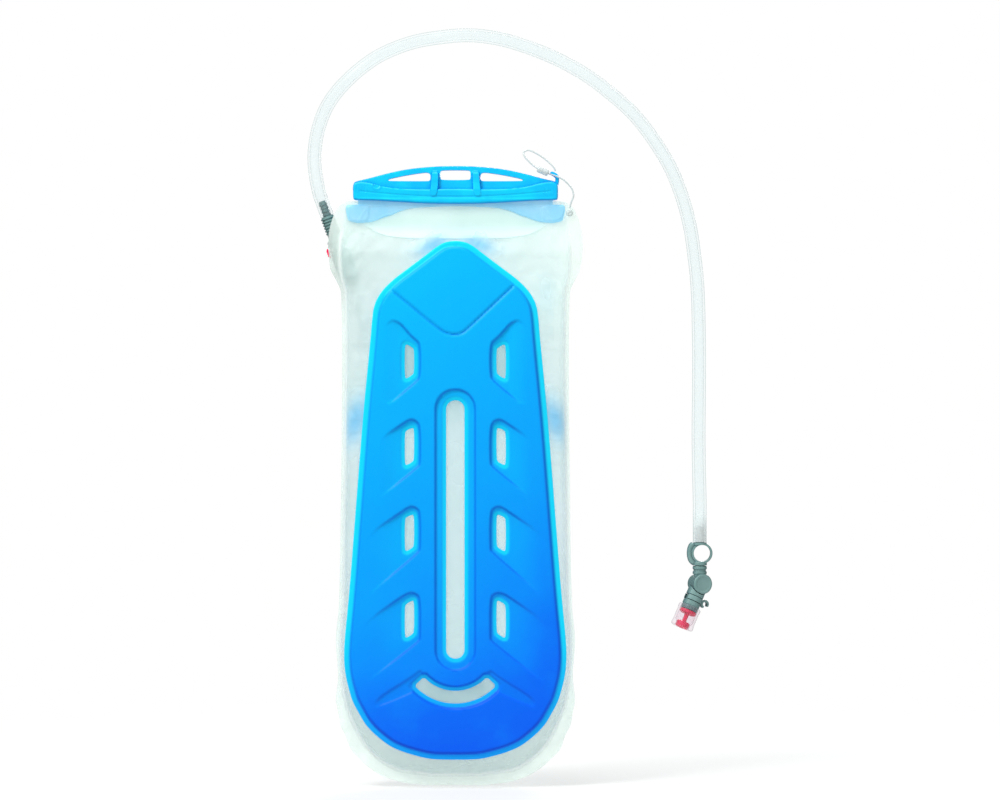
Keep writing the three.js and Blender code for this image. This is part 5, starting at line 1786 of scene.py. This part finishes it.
# ---------------------------------------------------------------- stage, in metres
FLOOR_X = 0.03
FLOOR_Z = -0.0012
FLOOR_RADIUS = 0.75
CAMERA_DISTANCE = 2.6
VIEW_WIDTH = 0.690                      # seen at the object
SENSOR_WIDTH = 36                       # mm


def floor_material():
    """Pale disc that fades out towards its edge."""
    graph = Graph("floor")
    x, y, _ = graph.xyz()
    radius = graph.math("SQRT", (x - FLOOR_X) ** 2 + y ** 2)
    fade = graph.step(radius, 0.2, 0.7, 1, 0)
    tone = graph.mix(graph.noise(scale=3, detail=2), "#f7f8f8", "#fbfbfb")
    paint = graph.node("BsdfDiffuse", {"Color": graph.mix(0.55, tone, (0, 0, 0, 1))})
    lit = graph.glow(paint, (1, 1, 1, 1), strength=0.42)
    return graph.finish(graph.blend(fade, graph.node("BsdfTransparent"), lit))


def build_floor():
    count = 96
    points = [(FLOOR_X, 0.0, FLOOR_Z)]
    for i in range(count):
        a = 2 * math.pi * i / count
        points.append((FLOOR_X + FLOOR_RADIUS * math.cos(a), FLOOR_RADIUS * math.sin(a),
                       FLOOR_Z))
    mesh = bpy.data.meshes.new("floor")
    mesh.from_pydata(points, [], [(0, 1 + i, 1 + (i + 1) % count) for i in range(count)])
    floor = bpy.data.objects.new("floor", mesh)
    bpy.context.scene.collection.objects.link(floor)
    mesh.materials.append(floor_material())


def build_world():
    """White to the camera, softer and slightly green as a light."""
    world = bpy.data.worlds.new("studio")
    bpy.context.scene.world = world
    world.use_nodes = True
    nodes, links = world.node_tree.nodes, world.node_tree.links
    nodes.clear()
    output = nodes.new("ShaderNodeOutputWorld")
    mix = nodes.new("ShaderNodeMixShader")
    path = nodes.new("ShaderNodeLightPath")
    links.new(path.outputs["Is Camera Ray"], mix.inputs[0])
    lit, seen = ((0.975, 0.992, 0.985, 1), 0.52), ((1, 1, 1, 1), 1.0)
    for i, (colour, strength) in enumerate((lit, seen)):
        background = nodes.new("ShaderNodeBackground")
        background.inputs[0].default_value = colour
        background.inputs[1].default_value = strength
        links.new(background.outputs[0], mix.inputs[1 + i])
    links.new(mix.outputs[0], output.inputs[0])


def add_lamp(name, place_at, target, size, power):
    light = bpy.data.lights.new(name, "AREA")
    light.shape = "DISK"
    light.size = size
    light.energy = power
    light.color = (1, 1, 1)
    lamp = bpy.data.objects.new(name, light)
    lamp.location = place_at
    direction = Vector(target) - Vector(place_at)
    lamp.rotation_euler = direction.to_track_quat("-Z", "Y").to_euler()
    bpy.context.scene.collection.objects.link(lamp)
    lamp.visible_camera = False


def build_camera():
    lens = bpy.data.cameras.new("camera")
    lens.sensor_width = SENSOR_WIDTH
    lens.lens = SENSOR_WIDTH * CAMERA_DISTANCE / VIEW_WIDTH
    lens.clip_start = 0.05
    lens.clip_end = 20
    camera = bpy.data.objects.new("camera", lens)
    camera.location = (0.0307, -CAMERA_DISTANCE, 0.2657)
    camera.rotation_euler = (math.pi / 2, 0, 0)
    scene = bpy.context.scene
    scene.collection.objects.link(camera)
    scene.camera = camera
    scene.view_settings.view_transform = "Standard"
    scene.cycles.use_denoising = True
    scene.cycles.transparent_max_bounces = 40
    scene.cycles.max_bounces = 10


build_floor()
build_world()
add_lamp("key", (-0.75, -0.75, 1.35), (0.0, 0, 0.24), size=0.55, power=17)
add_lamp("top", (-0.10, -0.25, 1.75), (0.0, 0, 0.0), size=0.45, power=9)
add_lamp("fill", (1.0, -1.0, 0.55), (0, 0, 0.25), size=0.9, power=3.0)
add_lamp("back", (0.35, 1.25, 0.8), (0, 0, 0.25), size=0.9, power=15)
build_camera()
